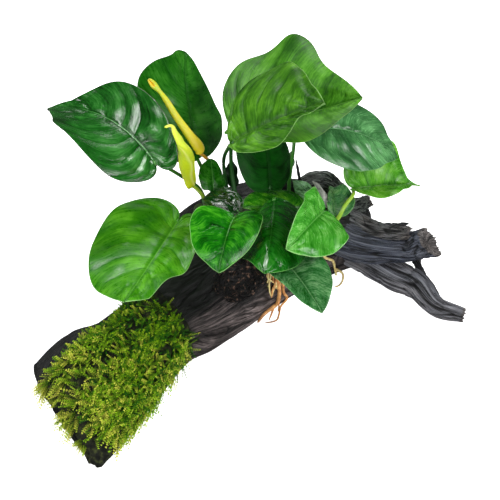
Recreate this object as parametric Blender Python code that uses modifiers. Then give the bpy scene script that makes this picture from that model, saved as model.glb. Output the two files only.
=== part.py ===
"""An anubias tied on a piece of dark driftwood, with a moss cushion on the wood's left end.

The plant creeps along the top of the wood: a thick stem (the rhizome) carries every leaf stalk, two
flower stalks and the roots. The wood lies flat on its underside, which is the plane z = 0. The origin
is on that plane, below the middle of the rhizome.

Lengths in the tables below are millimetres and angles are degrees. MM turns them into metres.
"""
import math

import bmesh
import bpy
import numpy as np

MM = 0.001

# Driving sizes
GAP = 0.3                    # clearance between touching pieces
WELD = 0.02                  # corners closer than this are joined after a cut
BLADE_THICKNESS = 0.7
STALK_RADIUS = 1.3
SMALL_STALK_RADIUS = 0.9
RHIZOME_RADIUS = 5.5
MOSS_THICKNESS = 7.0
STUB_RADIUS = 9.6
STALK_BELOW_BLADE = 1.15     # how far a stalk's end lies under its blade's midrib
STALK_SHORT_OF_BLADE = 1.2   # and how far it stops before the notch

# Colours (red, green, blue), roughness
COLOURS = {
    "wood": ((0.030, 0.027, 0.030), 0.75),
    "leaf": ((0.045, 0.200, 0.020), 0.35),
    "stalk": ((0.090, 0.220, 0.030), 0.45),
    "rhizome": ((0.060, 0.110, 0.025), 0.60),
    "spathe_gold": ((0.600, 0.420, 0.030), 0.45),
    "spathe_green": ((0.450, 0.520, 0.040), 0.45),
    "root_orange": ((0.550, 0.270, 0.090), 0.60),
    "root_pale": ((0.620, 0.560, 0.250), 0.60),
    "root_mat": ((0.020, 0.015, 0.012), 0.90),
    "moss": ((0.140, 0.260, 0.015), 0.80),
}

# The log's stations from its left end to its right end: where its front and its back meet the ground
# in plan (x, y), and its height there
LOG_STATIONS = [
    ((-84, -131), (-128, -65), 15),
    ((-68, -109), (-109, -46), 24),
    ((-53, -86), (-90, -42), 32),
    ((-37, -60), (-70, -22), 39),
    ((-21, -50), (-58, 4), 45),
    ((4, -30), (-45, 32), 51),
    ((27, -9), (-12, 54), 52),
    ((46, 4), (22, 60), 49),
    ((62, 12), (48, 61), 44),
    ((75, 18), (74, 46), 34),
]
LOG_STEPS = 180              # places read along the curves through the stations
LOG_RINGS = 21               # outlines of the log between its two ends
LOG_SIDES = 26               # corners round each outline
LOG_BELLY = 0.35             # height of the widest line, as a share of the log's height
FRONT_SQUARENESS = 3.6
BACK_SQUARENESS = 2.5

# The leaves. base is where the stalk meets the blade; heading is the way the midrib points in plan,
# from +X towards +Y; pitch is how steeply it rises there and droop how much it has turned down at the
# tip; roll tips the blade about its midrib and twist adds to it towards the tip; turn swings the tip
# sideways. Pairs are for the left and the right half, seen from the base: widths, fold, cup, how drawn
# out the tip is (point), how far the full width is kept beyond the widest place (shoulder), and edge,
# which moves the outline outwards at five places between the notch and the tip.
LEAVES = {
    "leaf_far_left": dict(
        base=(-55, 14, 98), heading=124, pitch=15, roll=-3, length=96, widths=(42, 25), droop=50,
        turn=30, twist=25, fold=(10, 40), cup=(-20, -20), wave=(-1.5, 1.4, 105), lobe=0.12,
        point=(0.7, 1.2), shoulder=(0.14, 0.30),
        edge=((-1, -1.5, 4, 4.5, 3), (1.5, 0, 1, -1, -0.5))),
    "leaf_back_left": dict(
        base=(-30, 44, 74), heading=112, pitch=44, roll=36, length=69, widths=(39, 35), droop=40,
        turn=-25, twist=5, fold=(5, -5), cup=(20, 20), wave=(-1.0, 1.6, 15), lobe=0.06,
        point=(1.1, -0.1), shoulder=(0.46, 0.35),
        edge=((0, -0.5, 0.5, 1.5, 4), (-1, 1.5, 2, -0.5, 2))),
    "leaf_back_right": dict(
        base=(-10, 35, 105), heading=5, pitch=8, roll=-25, length=78, widths=(60, 53), droop=-20,
        turn=-10, twist=25, fold=(45, 10), cup=(45, -5), wave=(3.0, 2.1, 45), lobe=0.06,
        point=(0.8, -0.6), shoulder=(0.48, 0.12),
        edge=((1, -2.5, -1.5, -4, 2.5), (1.5, 0, 1.5, -1, -2.5))),
    "leaf_top": dict(
        base=(-10, -1, 129), heading=-3, pitch=41, roll=5, length=64, widths=(45, 12), droop=5,
        turn=-20, twist=15, fold=(10, 5), cup=(35, 45), wave=(3.0, 1.0, 45), lobe=0.06,
        point=(0.3, 0.9), shoulder=(0.22, 0.39),
        edge=((-1.5, -1, 1.5, 1, 0.5), (-2, 0.5, 0.5, -2, 3))),
    "leaf_right": dict(
        base=(31, 31, 108), heading=16, pitch=-6, roll=9, length=74, widths=(28, 29), droop=55,
        twist=10, fold=(10, 10), cup=(35, 20), wave=(1.5, 1.3, 75), lobe=0.06, point=(1.2, 0),
        shoulder=(0.41, 0.33), edge=((0, 0, 0, 5, 2.5), (-0.5, -0.5, -0.5, -1.5, 0.5))),
    "leaf_far_right": dict(
        base=(64, 26, 63), heading=21, pitch=-11, roll=2, length=48, widths=(27, 19), droop=15,
        twist=-5, fold=(45, 45), cup=(0, 40), wave=(2.5, 1.6, 105), lobe=0.16, point=(1.2, 1.1),
        shoulder=(0.36, 0.24), edge=((0.5, 0, 1.5, -1, -2), (-2.5, -0.5, -1.5, 0, 0))),
    "leaf_middle_dark": dict(
        base=(12, 20, 70), heading=95, pitch=48, roll=29, length=54, widths=(23, 22), droop=40,
        fold=(10, -5), cup=(15, 30), lobe=0.06, point=(0.6, 0.6),
        shoulder=(0.30, 0.24), edge=((0, -0.5, 0.5, 0, 0), (0, 1, 2, 0, 0))),
    "leaf_small_left": dict(
        base=(-22, 22, 66), heading=96, pitch=40, roll=19, length=20, widths=(10, 9), droop=30,
        fold=(10, 5), cup=(25, 40), wave=(1.5, 1.3, -45), lobe=0.10, point=(-0.3, -0.1),
        edge=((-1.5, -1, -1, 0, 0), (0, 0, 0, 0, 1.5))),
    "leaf_front_heart": dict(
        base=(-9, -17, 85), heading=-107, pitch=15, roll=10, length=35, widths=(21, 23), droop=65,
        turn=5, twist=5, fold=(20, 15), cup=(15, -15), wave=(1.5, 1.3, -30), point=(-0.2, -0.5),
        edge=((1, 0.5, -0.5, 0, 0), (0, -0.5, -1, 0, -0.5))),
    "leaf_front_left": dict(
        base=(-42, -5, 69), heading=-113, pitch=4, roll=-15, length=82, widths=(20, 40), droop=-20,
        turn=10, twist=25, fold=(-10, -5), cup=(-20, 15), wave=(3.0, 2.1, -60), lobe=0.14,
        point=(-1.2, -0.6), shoulder=(0.05, 0.26),
        edge=((0.5, 0, 0.5, -0.5, 2.5), (1, 1, -0.5, 0.5, -0.5))),
    "leaf_front_middle": dict(
        base=(14, 2, 80), heading=-91, pitch=23, roll=9, length=64, widths=(30, 29), droop=30,
        turn=-10, twist=-10, fold=(-25, -25), cup=(45, 45), wave=(-2.0, 1.5, 15), lobe=0.06,
        point=(-0.7, 0), shoulder=(0.22, 0.27), edge=((1, 0, -0.5, 0, 0), (0, 0, 0, 0, 0))),
    "leaf_front_right": dict(
        base=(20, -33, 65), heading=-64, pitch=20, roll=-11, length=45, widths=(20, 21), droop=30,
        fold=(15, 20), cup=(10, -10), wave=(1.5, 1.7, -30), point=(-0.3, -0.6),
        shoulder=(0.25, 0.30), edge=((0, -1, -0.5, 0, 0.5), (0, 0, -0.5, 0, -1))),
    "leaf_light": dict(
        base=(43, -5, 77), heading=-111, pitch=33, roll=-33, length=51, widths=(22, 18), droop=30,
        turn=-15, twist=-15, fold=(5, 15), cup=(-5, -20), wave=(2.5, 1.8, 0), point=(0.3, -0.3),
        shoulder=(0.40, 0.27), edge=((-0.5, 0, -0.5, 1, 2), (1, -0.5, -1.5, -0.5, 1))),
    "leaf_wrinkled": dict(
        base=(-7, -3, 75), heading=135, pitch=8, roll=0, length=34, widths=(10, 9), droop=65,
        turn=-5, twist=-10, fold=(20, 20), cup=(10, 25), wave=(1.0, 1.7, 15), lobe=0.06,
        point=(0.2, -0.7), shoulder=(0.30, 0.09),
        edge=((0, -2, -0.5, 0, -2.5), (-1, 0, 1, -0.5, 0.5))),
    "leaf_under_middle": dict(
        base=(29, 12, 60), heading=190, pitch=17, roll=-10, length=37, widths=(7, 16), droop=-5,
        turn=15, twist=5, fold=(10, 5), cup=(25, 30), wave=(0.5, 1.6, 15), point=(-0.5, -0.7),
        shoulder=(0.36, 0.30), edge=((0, 0, 0, 0.5, -1.5), (1, 0.5, 0, 0, 0.5))),
    "leaf_small_grey": dict(
        base=(41, 19, 56), heading=121, pitch=16, roll=5, length=29, widths=(7, 6), droop=50,
        fold=(10, 10), cup=(20, 30), wave=(1.5, 1.5, -15), point=(0.4, 0.2)),
    "leaf_bud": dict(
        base=(44, 16, 59), heading=109, pitch=29, roll=37, length=17, widths=(3, 13), droop=25,
        turn=5, twist=-10, fold=(15, 0), cup=(10, 50), wave=(-1.0, 1.9, 180), point=(0.5, -0.1),
        edge=((0, 0, -1.5, -0.5, -2), (0, -0.5, 0.5, 0, 1))),
    "leaf_small_right": dict(
        base=(51, 10, 59), heading=94, pitch=19, roll=-1, length=23, widths=(4, 13), droop=45,
        turn=5, twist=-10, fold=(5, 20), cup=(30, 5), wave=(2.5, 1.7, -45), lobe=0.16, point=(0.8, 0.8),
        edge=((0, 0.5, -0.5, -0.5, -0.5), (0.5, 0.5, -0.5, 1, -1.5))),
    "leaf_hidden_right": dict(
        base=(21, 41, 54), heading=75, pitch=23, roll=-22, length=23, widths=(4, 5), droop=30,
        turn=5, twist=-5, fold=(5, 15), cup=(25, 20), wave=(1.5, 1.4, -120), point=(0.2, 0.2)),
    "leaf_hidden_left": dict(
        base=(-10, 35, 57), heading=97, pitch=37, roll=17, length=17, widths=(5, 4), droop=35,
        turn=-5, fold=(10, 5), cup=(20, 35), wave=(2.0, 1.5, 0), point=(0.2, 0.2)),
}
SMALL_LEAF = 35              # blades shorter than this are built with fewer faces

# The rhizome's own route
ROUTE_STEPS = 100
RHIZOME_ROUTE = [(-34, 22, 49), (-18, 15, 52), (2, 9, 53), (24, 8, 53), (42, 9, 51), (54, 13, 47)]

# The stalks: where each leaves the rhizome (0 to 1 along it), and the points it passes on its way up
STALKS = {
    "leaf_far_left": (0.10, [(-31, 31, 57), (-43, 37, 63), (-58, 27, 87)]),
    "leaf_back_left": (0.17, [(-24, 28, 63), (-32, 43, 71)]),
    "leaf_back_right": (0.32, [(-11, 27, 78), (-11, 33, 98)]),
    "leaf_top": (0.28, [(-14, 27, 60), (-16, 39, 73), (-12, 6, 118)]),
    "leaf_right": (0.60, [(24, 18, 57), (24, 34, 59), (27, 56, 67), (28, 62, 80), (30, 50, 97)]),
    "leaf_far_right": (0.86, [(52, 4.5, 59), (56.5, 9, 66), (61.8, 17, 67)]),
    "leaf_middle_dark": (0.39, [(4, 23, 62), (9, 25, 67)]),
    "leaf_small_left": (0.20, [(-20, 18, 57), (-22, 21, 61)]),
    "leaf_front_heart": (0.36, [(-5, 1, 64), (-7, -8, 75)]),
    "leaf_front_left": (0.16, [(-28, 10, 57), (-35, 3, 62)]),
    "leaf_front_middle": (0.57, [(19, 0, 61), (17, 0, 70)]),
    "leaf_front_right": (0.58, [(20, -7, 57), (19, -21, 59)]),
    "leaf_light": (0.74, [(40, 4, 59), (42, 0, 67)]),
    "leaf_wrinkled": (0.26, [(-12, 11, 59), (-10, 8, 66)]),
    "leaf_under_middle": (0.68, [(30, 11, 57)]),
    "leaf_small_grey": (0.77, [(41, 14, 53), (41, 17, 54)]),
    "leaf_bud": (0.82, [(44, 14, 55)]),
    "leaf_small_right": (0.93, [(51, 13, 54)]),
    "leaf_hidden_right": (0.51, [(15, 20, 55), (18, 31, 55)]),
    "leaf_hidden_left": (0.35, [(-8, 20, 54), (-10, 28, 54)]),
}


def smooth_path(points, count):
    """Read a curve through the points (Catmull-Rom spline) at evenly numbered places."""
    pts = np.asarray(points, float)
    ends = np.vstack([2 * pts[0] - pts[1], pts, 2 * pts[-1] - pts[-2]])
    place = np.linspace(0, len(pts) - 1, count)
    i = np.minimum(place.astype(int), len(pts) - 2)
    t = (place - i)[:, None]
    a, b, c, d = ends[i], ends[i + 1], ends[i + 2], ends[i + 3]
    return 0.5 * (2 * b + (c - a) * t + (2 * a - 5 * b + 4 * c - d) * t**2
                  + (3 * b - a - 3 * c + d) * t**3)


def material(name):
    """A plain material with the piece's colour and roughness."""
    mat = bpy.data.materials.get(name)
    if mat is None:
        mat = bpy.data.materials.new(name)
        mat.use_nodes = True
        colour, roughness = COLOURS[name]
        shader = mat.node_tree.nodes["Principled BSDF"]
        shader.inputs["Base Color"].default_value = (*colour, 1.0)
        shader.inputs["Roughness"].default_value = roughness
        shader.inputs["Metallic"].default_value = 0.0
    return mat


def add_object(name, vertices, faces, mat, collection, smooth=True):
    """Put a mesh with corners in millimetres into a collection, as an object in metres."""
    mesh = bpy.data.meshes.new(name)
    mesh.from_pydata((np.asarray(vertices) * MM).tolist(), [], [tuple(f) for f in faces])
    mesh.materials.append(material(mat))
    if smooth:
        mesh.shade_smooth()
    obj = bpy.data.objects.new(name, mesh)
    collection.objects.link(obj)
    return obj


def ring_faces(first, second, sides):
    """Triangles between two rings of corners that are numbered alike; every diagonal runs one way."""
    faces = []
    for j in range(sides):
        k = (j + 1) % sides
        faces.append((first + j, first + k, second + k))
        faces.append((first + j, second + k, second + j))
    return faces


def loft(rings):
    """Join rings of corners into a closed body; the two end rings are closed with a fan."""
    rings = [np.asarray(r, float) for r in rings]
    sides = len(rings[0])
    points = np.vstack(rings + [rings[0].mean(0)[None], rings[-1].mean(0)[None]])
    faces = []
    for i in range(len(rings) - 1):
        faces += ring_faces(i * sides, (i + 1) * sides, sides)
    last = (len(rings) - 1) * sides
    start_pole = len(points) - 2
    end_pole = len(points) - 1
    for j in range(sides):
        k = (j + 1) % sides
        faces.append((start_pole, k, j))
        faces.append((end_pole, last + j, last + k))
    return points, faces


def face_outwards(obj):
    """Turn every face of a closed mesh outwards."""
    bm = bmesh.new()
    bm.from_mesh(obj.data)
    bmesh.ops.recalc_face_normals(bm, faces=bm.faces)
    bm.to_mesh(obj.data)
    bm.free()


def tube_rings(route, radii, sides, flatten=1.0, lumps=0.0, seed=0.0):
    """Rings of corners round a route, kept upright; lumps roughens them along and around."""
    route = np.asarray(route, float)
    along = np.gradient(route, axis=0)
    along /= np.linalg.norm(along, axis=1)[:, None]
    side = np.cross(along, (0.0, 0.0, 1.0))
    side /= np.linalg.norm(side, axis=1)[:, None]
    up = np.cross(side, along)
    angle = np.arange(sides) * 2 * math.pi / sides
    rings = []
    for i, centre in enumerate(route):
        rough = 1 + lumps * (np.sin(3 * angle + 1.3 * i + seed) + 0.6 * np.sin(5 * angle - 0.9 * i))
        radius = (radii[i] * rough)[:, None]
        across = side[i] * np.cos(angle)[:, None]
        upward = up[i] * np.sin(angle)[:, None] * flatten
        rings.append(centre + radius * (across + upward))
    return rings


def cut(target, cutter):
    """Take the cutter away from the target and keep the result as the target's own mesh."""
    mod = target.modifiers.new("clear of neighbour", "BOOLEAN")
    mod.operation = "DIFFERENCE"
    mod.solver = "EXACT"
    mod.object = cutter
    bpy.context.view_layer.update()
    shape = bpy.data.meshes.new_from_object(target.evaluated_get(bpy.context.evaluated_depsgraph_get()))
    target.modifiers.clear()
    bm = bmesh.new()
    bm.from_mesh(shape)
    bmesh.ops.remove_doubles(bm, verts=bm.verts, dist=WELD * MM)
    bmesh.ops.triangulate(bm, faces=bm.faces)
    bm.to_mesh(shape)
    bm.free()
    target.data = shape


def swollen_copy(obj, amount, collection):
    """A cutter: the object's shape moved outwards by the given gap."""
    copy = obj.copy()
    copy.data = obj.data.copy()
    copy.name = obj.name + "_clearance"
    push = copy.modifiers.new("gap", "DISPLACE")
    push.strength = amount * MM
    push.mid_level = 0.0
    copy.hide_render = True
    copy.display_type = "WIRE"
    collection.objects.link(copy)
    return copy


def log_values(s):
    """Front foot, back foot and height of the log at a place s from 0 (left end) to 1 (right end)."""
    table = [(*front, *back, height) for front, back, height in LOG_STATIONS]
    values = smooth_path(table, LOG_STEPS + 1)
    row = values[int(round(np.clip(s, 0, 1) * LOG_STEPS))]
    return row[0:2], row[2:4], row[4]


def log_ring(s, shrink=1.0, outward=0.0):
    """One closed outline of the log. The front is steep with a sharp top edge, the back is round, the
    foot is flat on the ground. Ridges that run along the grain lift and lower the outline."""
    front, back, height = log_values(s)
    angle = np.arange(LOG_SIDES) * 2 * math.pi / LOG_SIDES + math.pi / LOG_SIDES
    cos, sin = np.cos(angle), np.sin(angle)
    square = np.where(cos < 0, FRONT_SQUARENESS, BACK_SQUARENESS)
    across = np.sign(cos) * np.abs(cos) ** (2 / square)
    upward = np.sign(sin) * np.abs(sin) ** (2 / square)
    turn = angle / (2 * math.pi)
    ridge = (0.020 * np.sin(2 * math.pi * (5 * turn + 0.9 * s))
             + 0.016 * np.sin(2 * math.pi * (9 * turn - 1.3 * s) + 1.0)
             + 0.014 * np.sin(2 * math.pi * (3 * turn + 3.1 * s) + 2.0))
    across = across * (1 + ridge) * shrink
    belly = height * LOG_BELLY
    above = belly + (height - belly) * upward * (1 + ridge)
    z = np.where(upward > 0, above, belly + belly * 1.6 * upward)
    z = np.maximum(belly + (z - belly) * shrink, 0.0)
    middle = (front + back) / 2
    half = (back - front) / 2
    axis = np.array([half[1], -half[0]]) / np.linalg.norm(half)
    plan = middle + across[:, None] * half + axis * outward
    return np.column_stack([plan, z])


def log_rings():
    """All outlines of the log, with two smaller ones that round each end."""
    rings = [log_ring(0, 0.60, -4.0), log_ring(0, 0.88, -3.0)]
    rings += [log_ring(s) for s in np.linspace(0, 1, LOG_RINGS)]
    rings += [log_ring(1, 0.85, 1.5), log_ring(1, 0.55, 2.5)]
    return rings


def corner_normals(points, faces):
    """Directions that point out of the surface at each corner, from the faces round it."""
    points = np.asarray(points)
    tri = np.asarray(faces)
    a, b, c = points[tri[:, 0]], points[tri[:, 1]], points[tri[:, 2]]
    normal = np.cross(b - a, c - a)
    total = np.zeros_like(points)
    for corner in range(3):
        np.add.at(total, tri[:, corner], normal)
    return total / np.linalg.norm(total, axis=1)[:, None]


def build_log(collection):
    """The trunk of the driftwood: a loft between its outlines, flat underneath."""
    points, faces = loft(log_rings())
    obj = add_object("driftwood_log", points, faces, "wood", collection, smooth=False)
    face_outwards(obj)
    return obj


# Branches of the wood: route, radii along it, how much its section is squashed, how rough it is, and
# how far its broken end is cut back on the side that looks forwards and up
BRANCHES = {
    "driftwood_main_stub": dict(
        route=[(48, 24, 28), (66, 10, 30), (92, 5.8, 29), (102, 7.5, 30.8), (110, 9, 32.3)],
        radii=[12, 11, 8.2, 9, STUB_RADIUS], flatten=0.95, lumps=0.05, slant=6.5),
    "driftwood_upper_stub": dict(
        route=[(60, 26, 34), (76, 15, 37), (88, 12, 38), (97, 11, 39)],
        radii=[9, 7.5, 5.5, 4], flatten=0.8, lumps=0.08),
    "driftwood_lower_branch": dict(
        route=[(58, 26, 12), (74, 12, 14), (91, -1, 12.5), (104, -9.5, 12), (115, -22, 7.5),
               (131, -26, 4.5)],
        radii=[12, 11, 10, 9.2, 6.5, 4.5], flatten=0.85, lumps=0.07),
    "driftwood_back_knob": dict(
        route=[(32, 46, 34), (38, 49, 40), (47, 49, 42), (56, 46, 38)],
        radii=[9, 9, 9, 6], flatten=0.85, lumps=0.06),
    "driftwood_side_knob": dict(
        route=[(62, 34, 34), (68, 33, 40), (74, 34, 43)],
        radii=[5.5, 5, 3.5], flatten=1.0, lumps=0.08),
}
BRANCH_SIDES = 11
BRANCH_RINGS_PER_POINT = 2
BREAK_FACES = np.array([0.0, -0.16, 0.98])


def build_branch(name, collection, neighbours):
    """A side branch: a rough tapering tube that starts inside the log and is cut clear of it."""
    spec = BRANCHES[name]
    count = BRANCH_RINGS_PER_POINT * (len(spec["route"]) - 1) + 1
    table = np.column_stack([np.asarray(spec["route"], float), spec["radii"]])
    line = smooth_path(table, count)
    rings = tube_rings(line[:, :3], line[:, 3], BRANCH_SIDES, spec["flatten"], spec["lumps"], len(name))
    end_way = (line[-1, :3] - line[-2, :3]) / np.linalg.norm(line[-1, :3] - line[-2, :3])
    cut_back = spec.get("slant", 0) / line[-1, 3] * np.clip(np.linspace(-1, 1, count), 0, 1)
    for ring, centre, share in zip(rings, line[:, :3], cut_back):
        ring -= end_way * ((ring - centre) @ BREAK_FACES * share)[:, None]
        ring[:, 2] = np.maximum(ring[:, 2], 0.0)
    points, faces = loft(rings)
    obj = add_object(name, points, faces, "wood", collection, smooth=False)
    face_outwards(obj)
    for neighbour in neighbours:
        cut(obj, neighbour)
    return obj


def build_rhizome(collection, wood):
    """The creeping stem: a knobbly tube that lies in a shallow seat on the log."""
    count = 13
    line = smooth_path(RHIZOME_ROUTE, count)
    t = np.linspace(0, 1, count)
    radii = RHIZOME_RADIUS * (1 - 0.35 * np.abs(2 * t - 1) ** 3) * (1 + 0.07 * np.cos(12 * math.pi * t))
    points, faces = loft(tube_rings(line, radii, 8))
    obj = add_object("rhizome", points, faces, "rhizome", collection)
    face_outwards(obj)
    cut(obj, wood)
    return obj


EDGE_PLACES = (0.22, 0.42, 0.60, 0.76, 0.90)
EDGE_REACH = 0.085           # how far along the outline each of them is felt
OUTLINE_STEPS = 8            # places worked out along the outline for each column of faces


def half_outline(q, length, width, lobe, point, shoulder, edge):
    """One half of a heart-shaped blade laid flat, for q from 0 (the notch at the stalk) round the
    basal lobe and the widest place (q = 0.5) to 1 (the tip): two cubic curves, then the edge's waves."""
    widest = 0.36 * length
    tail = lobe * length
    basal = np.array([(0, 0), (-1.55 * tail, 0.02 * width), (-1.25 * tail, width), (widest, width)])
    outer = np.array([(widest, width), (widest + shoulder * length, width),
                      ((0.86 - 0.10 * point) * length, (0.30 - 0.22 * point) * width), (length, 0)])

    def cubic(p, t):
        t = t[:, None]
        return (1 - t)**3 * p[0] + 3 * (1 - t)**2 * t * p[1] + 3 * (1 - t) * t**2 * p[2] + t**3 * p[3]

    first = cubic(basal, np.clip(2 * q, 0, 1))
    second = cubic(outer, np.clip(2 * q - 1, 0, 1))
    outline = np.where((q < 0.5)[:, None], first, second)
    ahead = np.gradient(outline, axis=0)
    ahead /= np.linalg.norm(ahead, axis=1)[:, None]
    outwards = np.column_stack([-ahead[:, 1], ahead[:, 0]])
    amount = sum(e * np.exp(-((q - at) / EDGE_REACH) ** 2) for e, at in zip(edge, EDGE_PLACES))
    return outline + outwards * np.reshape(amount, (-1, 1))


def blade_frame(leaf, u):
    """The midrib's point and the directions along it, across it and out of the blade at u of its
    length. The midrib is an arc that droops and turns evenly, so its chord has half of both."""
    base = np.array(leaf["base"], float)
    heading, pitch = math.radians(leaf["heading"]), math.radians(leaf["pitch"])
    droop, turn = math.radians(leaf["droop"]), math.radians(leaf.get("turn", 0))
    h, p = heading + turn * u, pitch - droop * u
    h_chord, p_chord = heading + turn * u / 2, pitch - droop * u / 2
    chord = np.stack([np.cos(p_chord) * np.cos(h_chord), np.cos(p_chord) * np.sin(h_chord),
                      np.sin(p_chord)], -1)
    along = np.stack([np.cos(p) * np.cos(h), np.cos(p) * np.sin(h), np.sin(p)], -1)
    level = np.stack([-np.sin(h), np.cos(h), 0 * h], -1)
    out = np.cross(along, level)
    roll = np.radians(leaf["roll"] + leaf.get("twist", 0) * u)[..., None]
    across = level * np.cos(roll) + out * np.sin(roll)
    normal = out * np.cos(roll) - level * np.sin(roll)
    place = base + (u * leaf["length"])[..., None] * chord
    return place, along, across, normal


def half_blade(leaf, half, columns, rows):
    """Corners of one half blade: half is 0 for the left one and 1 for the right one. Lines run from
    the midrib to the outline along the side veins, folded up by fold, curled by cup and waved."""
    width = leaf["widths"][half]
    length = leaf["length"]
    q = np.linspace(0, 1, columns + 1)
    fine = np.linspace(0, 1, OUTLINE_STEPS * columns + 1)
    shoulder = leaf.get("shoulder", (0.30, 0.30))[half]
    edge = leaf.get("edge", (np.zeros(5), np.zeros(5)))[half]
    outline = half_outline(fine, length, width, leaf.get("lobe", 0.12), leaf["point"][half], shoulder,
                           edge)
    rim = outline[::OUTLINE_STEPS]
    rib = np.stack([length * q**2.4, 0 * q], -1)
    bow = (rib + rim) / 2 + np.stack([-0.10 * (rim - rib)[:, 1], 0 * q], -1)
    t = np.linspace(0, 1, rows + 1)[:, None, None]
    flat = (1 - t)**2 * rib + 2 * (1 - t) * t * bow + t**2 * rim
    x, y = flat[..., 0], flat[..., 1]
    u = np.clip(x / length, 0, 1.05)
    out_share = y / width
    place, along, across, normal = blade_frame(leaf, u)
    place = place + np.minimum(x, 0)[..., None] * along
    rise = np.radians(leaf["fold"][half] - leaf["cup"][half] * out_share / 2)
    height, waves, start = leaf.get("wave", (0.0, 1.5, 0))
    lag = 1.3 * half
    ripple = height * out_share**2 * np.sin(2 * math.pi * waves * u + math.radians(start) + lag)
    side = 1 - 2 * half
    return (place + side * across * (y * np.cos(rise))[..., None]
            + normal * (y * np.sin(rise) + ripple)[..., None])


def build_blade(name, collection):
    """A leaf blade: the two half surfaces share the midrib and get their thickness from Solidify."""
    leaf = LEAVES[name]
    small = leaf["length"] < SMALL_LEAF
    columns, rows = (7, 2) if small else (8, 3)
    left = half_blade(leaf, 0, columns, rows)
    right = half_blade(leaf, 1, columns, rows)
    grid = np.concatenate([left[::-1], right[1:]], 0)
    lines = 2 * rows + 1
    inner = grid[:, 1:columns].reshape(-1, 3)
    points = np.vstack([inner, grid[rows, 0][None], grid[rows, columns][None]])
    width = columns - 1
    notch, tip = len(inner), len(inner) + 1
    faces = []
    for i in range(lines - 1):
        for j in range(width - 1):
            a = i * width + j
            faces.append((a, a + 1, a + width + 1, a + width))
        faces.append((notch, i * width, (i + 1) * width))
        faces.append((tip, (i + 1) * width + width - 1, i * width + width - 1))
    obj = add_object(name, points, faces, "leaf", collection)
    shell = obj.modifiers.new("blade thickness", "SOLIDIFY")
    shell.thickness = BLADE_THICKNESS * MM
    shell.offset = 0.0
    return obj


def rhizome_point(share):
    """The point on the rhizome's route at a share (0 to 1) of the way along it."""
    return smooth_path(RHIZOME_ROUTE, ROUTE_STEPS + 1)[int(share * ROUTE_STEPS)]


def stalk_route(name):
    """Points of a stalk: out of the rhizome, up, and into the blade's notch from below."""
    place, along, _, normal = blade_frame(LEAVES[name], np.array([0.0]))
    end = place[0] - normal[0] * STALK_BELOW_BLADE - along[0] * STALK_SHORT_OF_BLADE
    share, passed = STALKS[name]
    start = rhizome_point(share)
    return smooth_path([start, *passed, end], 7 if len(passed) > 1 else 5)


def curve_tube(name, route, radius, mat, collection, taper=1.0):
    """A curve with a bevel and filled caps, made a mesh so that it can be cut."""
    curve = bpy.data.curves.new(name, "CURVE")
    curve.dimensions = "3D"
    curve.bevel_depth = radius * MM
    curve.bevel_resolution = 1
    curve.use_fill_caps = True
    spline = curve.splines.new("POLY")
    spline.points.add(len(route) - 1)
    for i, (point, place) in enumerate(zip(spline.points, np.asarray(route) * MM)):
        point.co = (*place, 1.0)
        point.radius = 1 + (taper - 1) * i / (len(route) - 1)
    rail = bpy.data.objects.new(name + "_curve", curve)
    collection.objects.link(rail)
    bpy.context.view_layer.update()
    mesh = bpy.data.meshes.new_from_object(rail.evaluated_get(bpy.context.evaluated_depsgraph_get()))
    bm = bmesh.new()
    bm.from_mesh(mesh)
    bmesh.ops.remove_doubles(bm, verts=bm.verts, dist=0.00001)
    bmesh.ops.recalc_face_normals(bm, faces=bm.faces)
    bm.to_mesh(mesh)
    bm.free()
    mesh.materials.clear()
    mesh.materials.append(material(mat))
    mesh.shade_smooth()
    obj = bpy.data.objects.new(name, mesh)
    obj.matrix_world = rail.matrix_world
    collection.objects.link(obj)
    bpy.data.objects.remove(rail)
    return obj


# Spathes: the route from the foot of the body to its tip, the radii along it, and the flower stalk
SPATHES = {
    "spathe_gold": dict(
        route=[(-31, 38, 80), (-31, 40, 84), (-36, 43, 91), (-44, 48, 102), (-49, 53, 109),
               (-53, 57, 113), (-57, 60, 116), (-60, 63, 118)],
        radii=[2.0, 4.0, 3.4, 2.7, 2.3, 1.4, 2.4, 1.2], flatten=0.8, mat="spathe_gold",
        stalk=[(-20, 28, 58), (-23, 41, 67), (-28, 40.5, 76), (-31, 38.5, 81)], foot=0.23),
    "spathe_green": dict(
        route=[(-37, 28, 61), (-36, 26, 69), (-37, 21, 85), (-37, 18, 100), (-39, 14, 113),
               (-42, 15, 120), (-44, 17, 124), (-48, 16, 124)],
        radii=[1.5, 3.6, 4.6, 4.7, 3.2, 1.8, 1.0, 0.8], flatten=0.7, mat="spathe_green",
        stalk=[(-29, 24, 59), (-33, 28, 61), (-36.5, 27.5, 64)], foot=0.17),
}


def build_spathe(name, collection, cutters, rhizome):
    """A flower sheath: a slim lofted body, and the stalk that carries it from the rhizome."""
    spec = SPATHES[name]
    table = np.column_stack([np.asarray(spec["route"], float), spec["radii"]])
    line = smooth_path(table, 11)
    points, faces = loft(tube_rings(line[:, :3], line[:, 3], 8, spec["flatten"]))
    body = add_object(name, points, faces, spec["mat"], collection)
    face_outwards(body)
    start = rhizome_point(spec["foot"])
    stalk = curve_tube(name + "_stalk", smooth_path([start, *spec["stalk"]], 7), STALK_RADIUS, "stalk",
                       collection)
    cut(stalk, rhizome)
    cut(stalk, swollen_copy(body, GAP, cutters))


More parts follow.
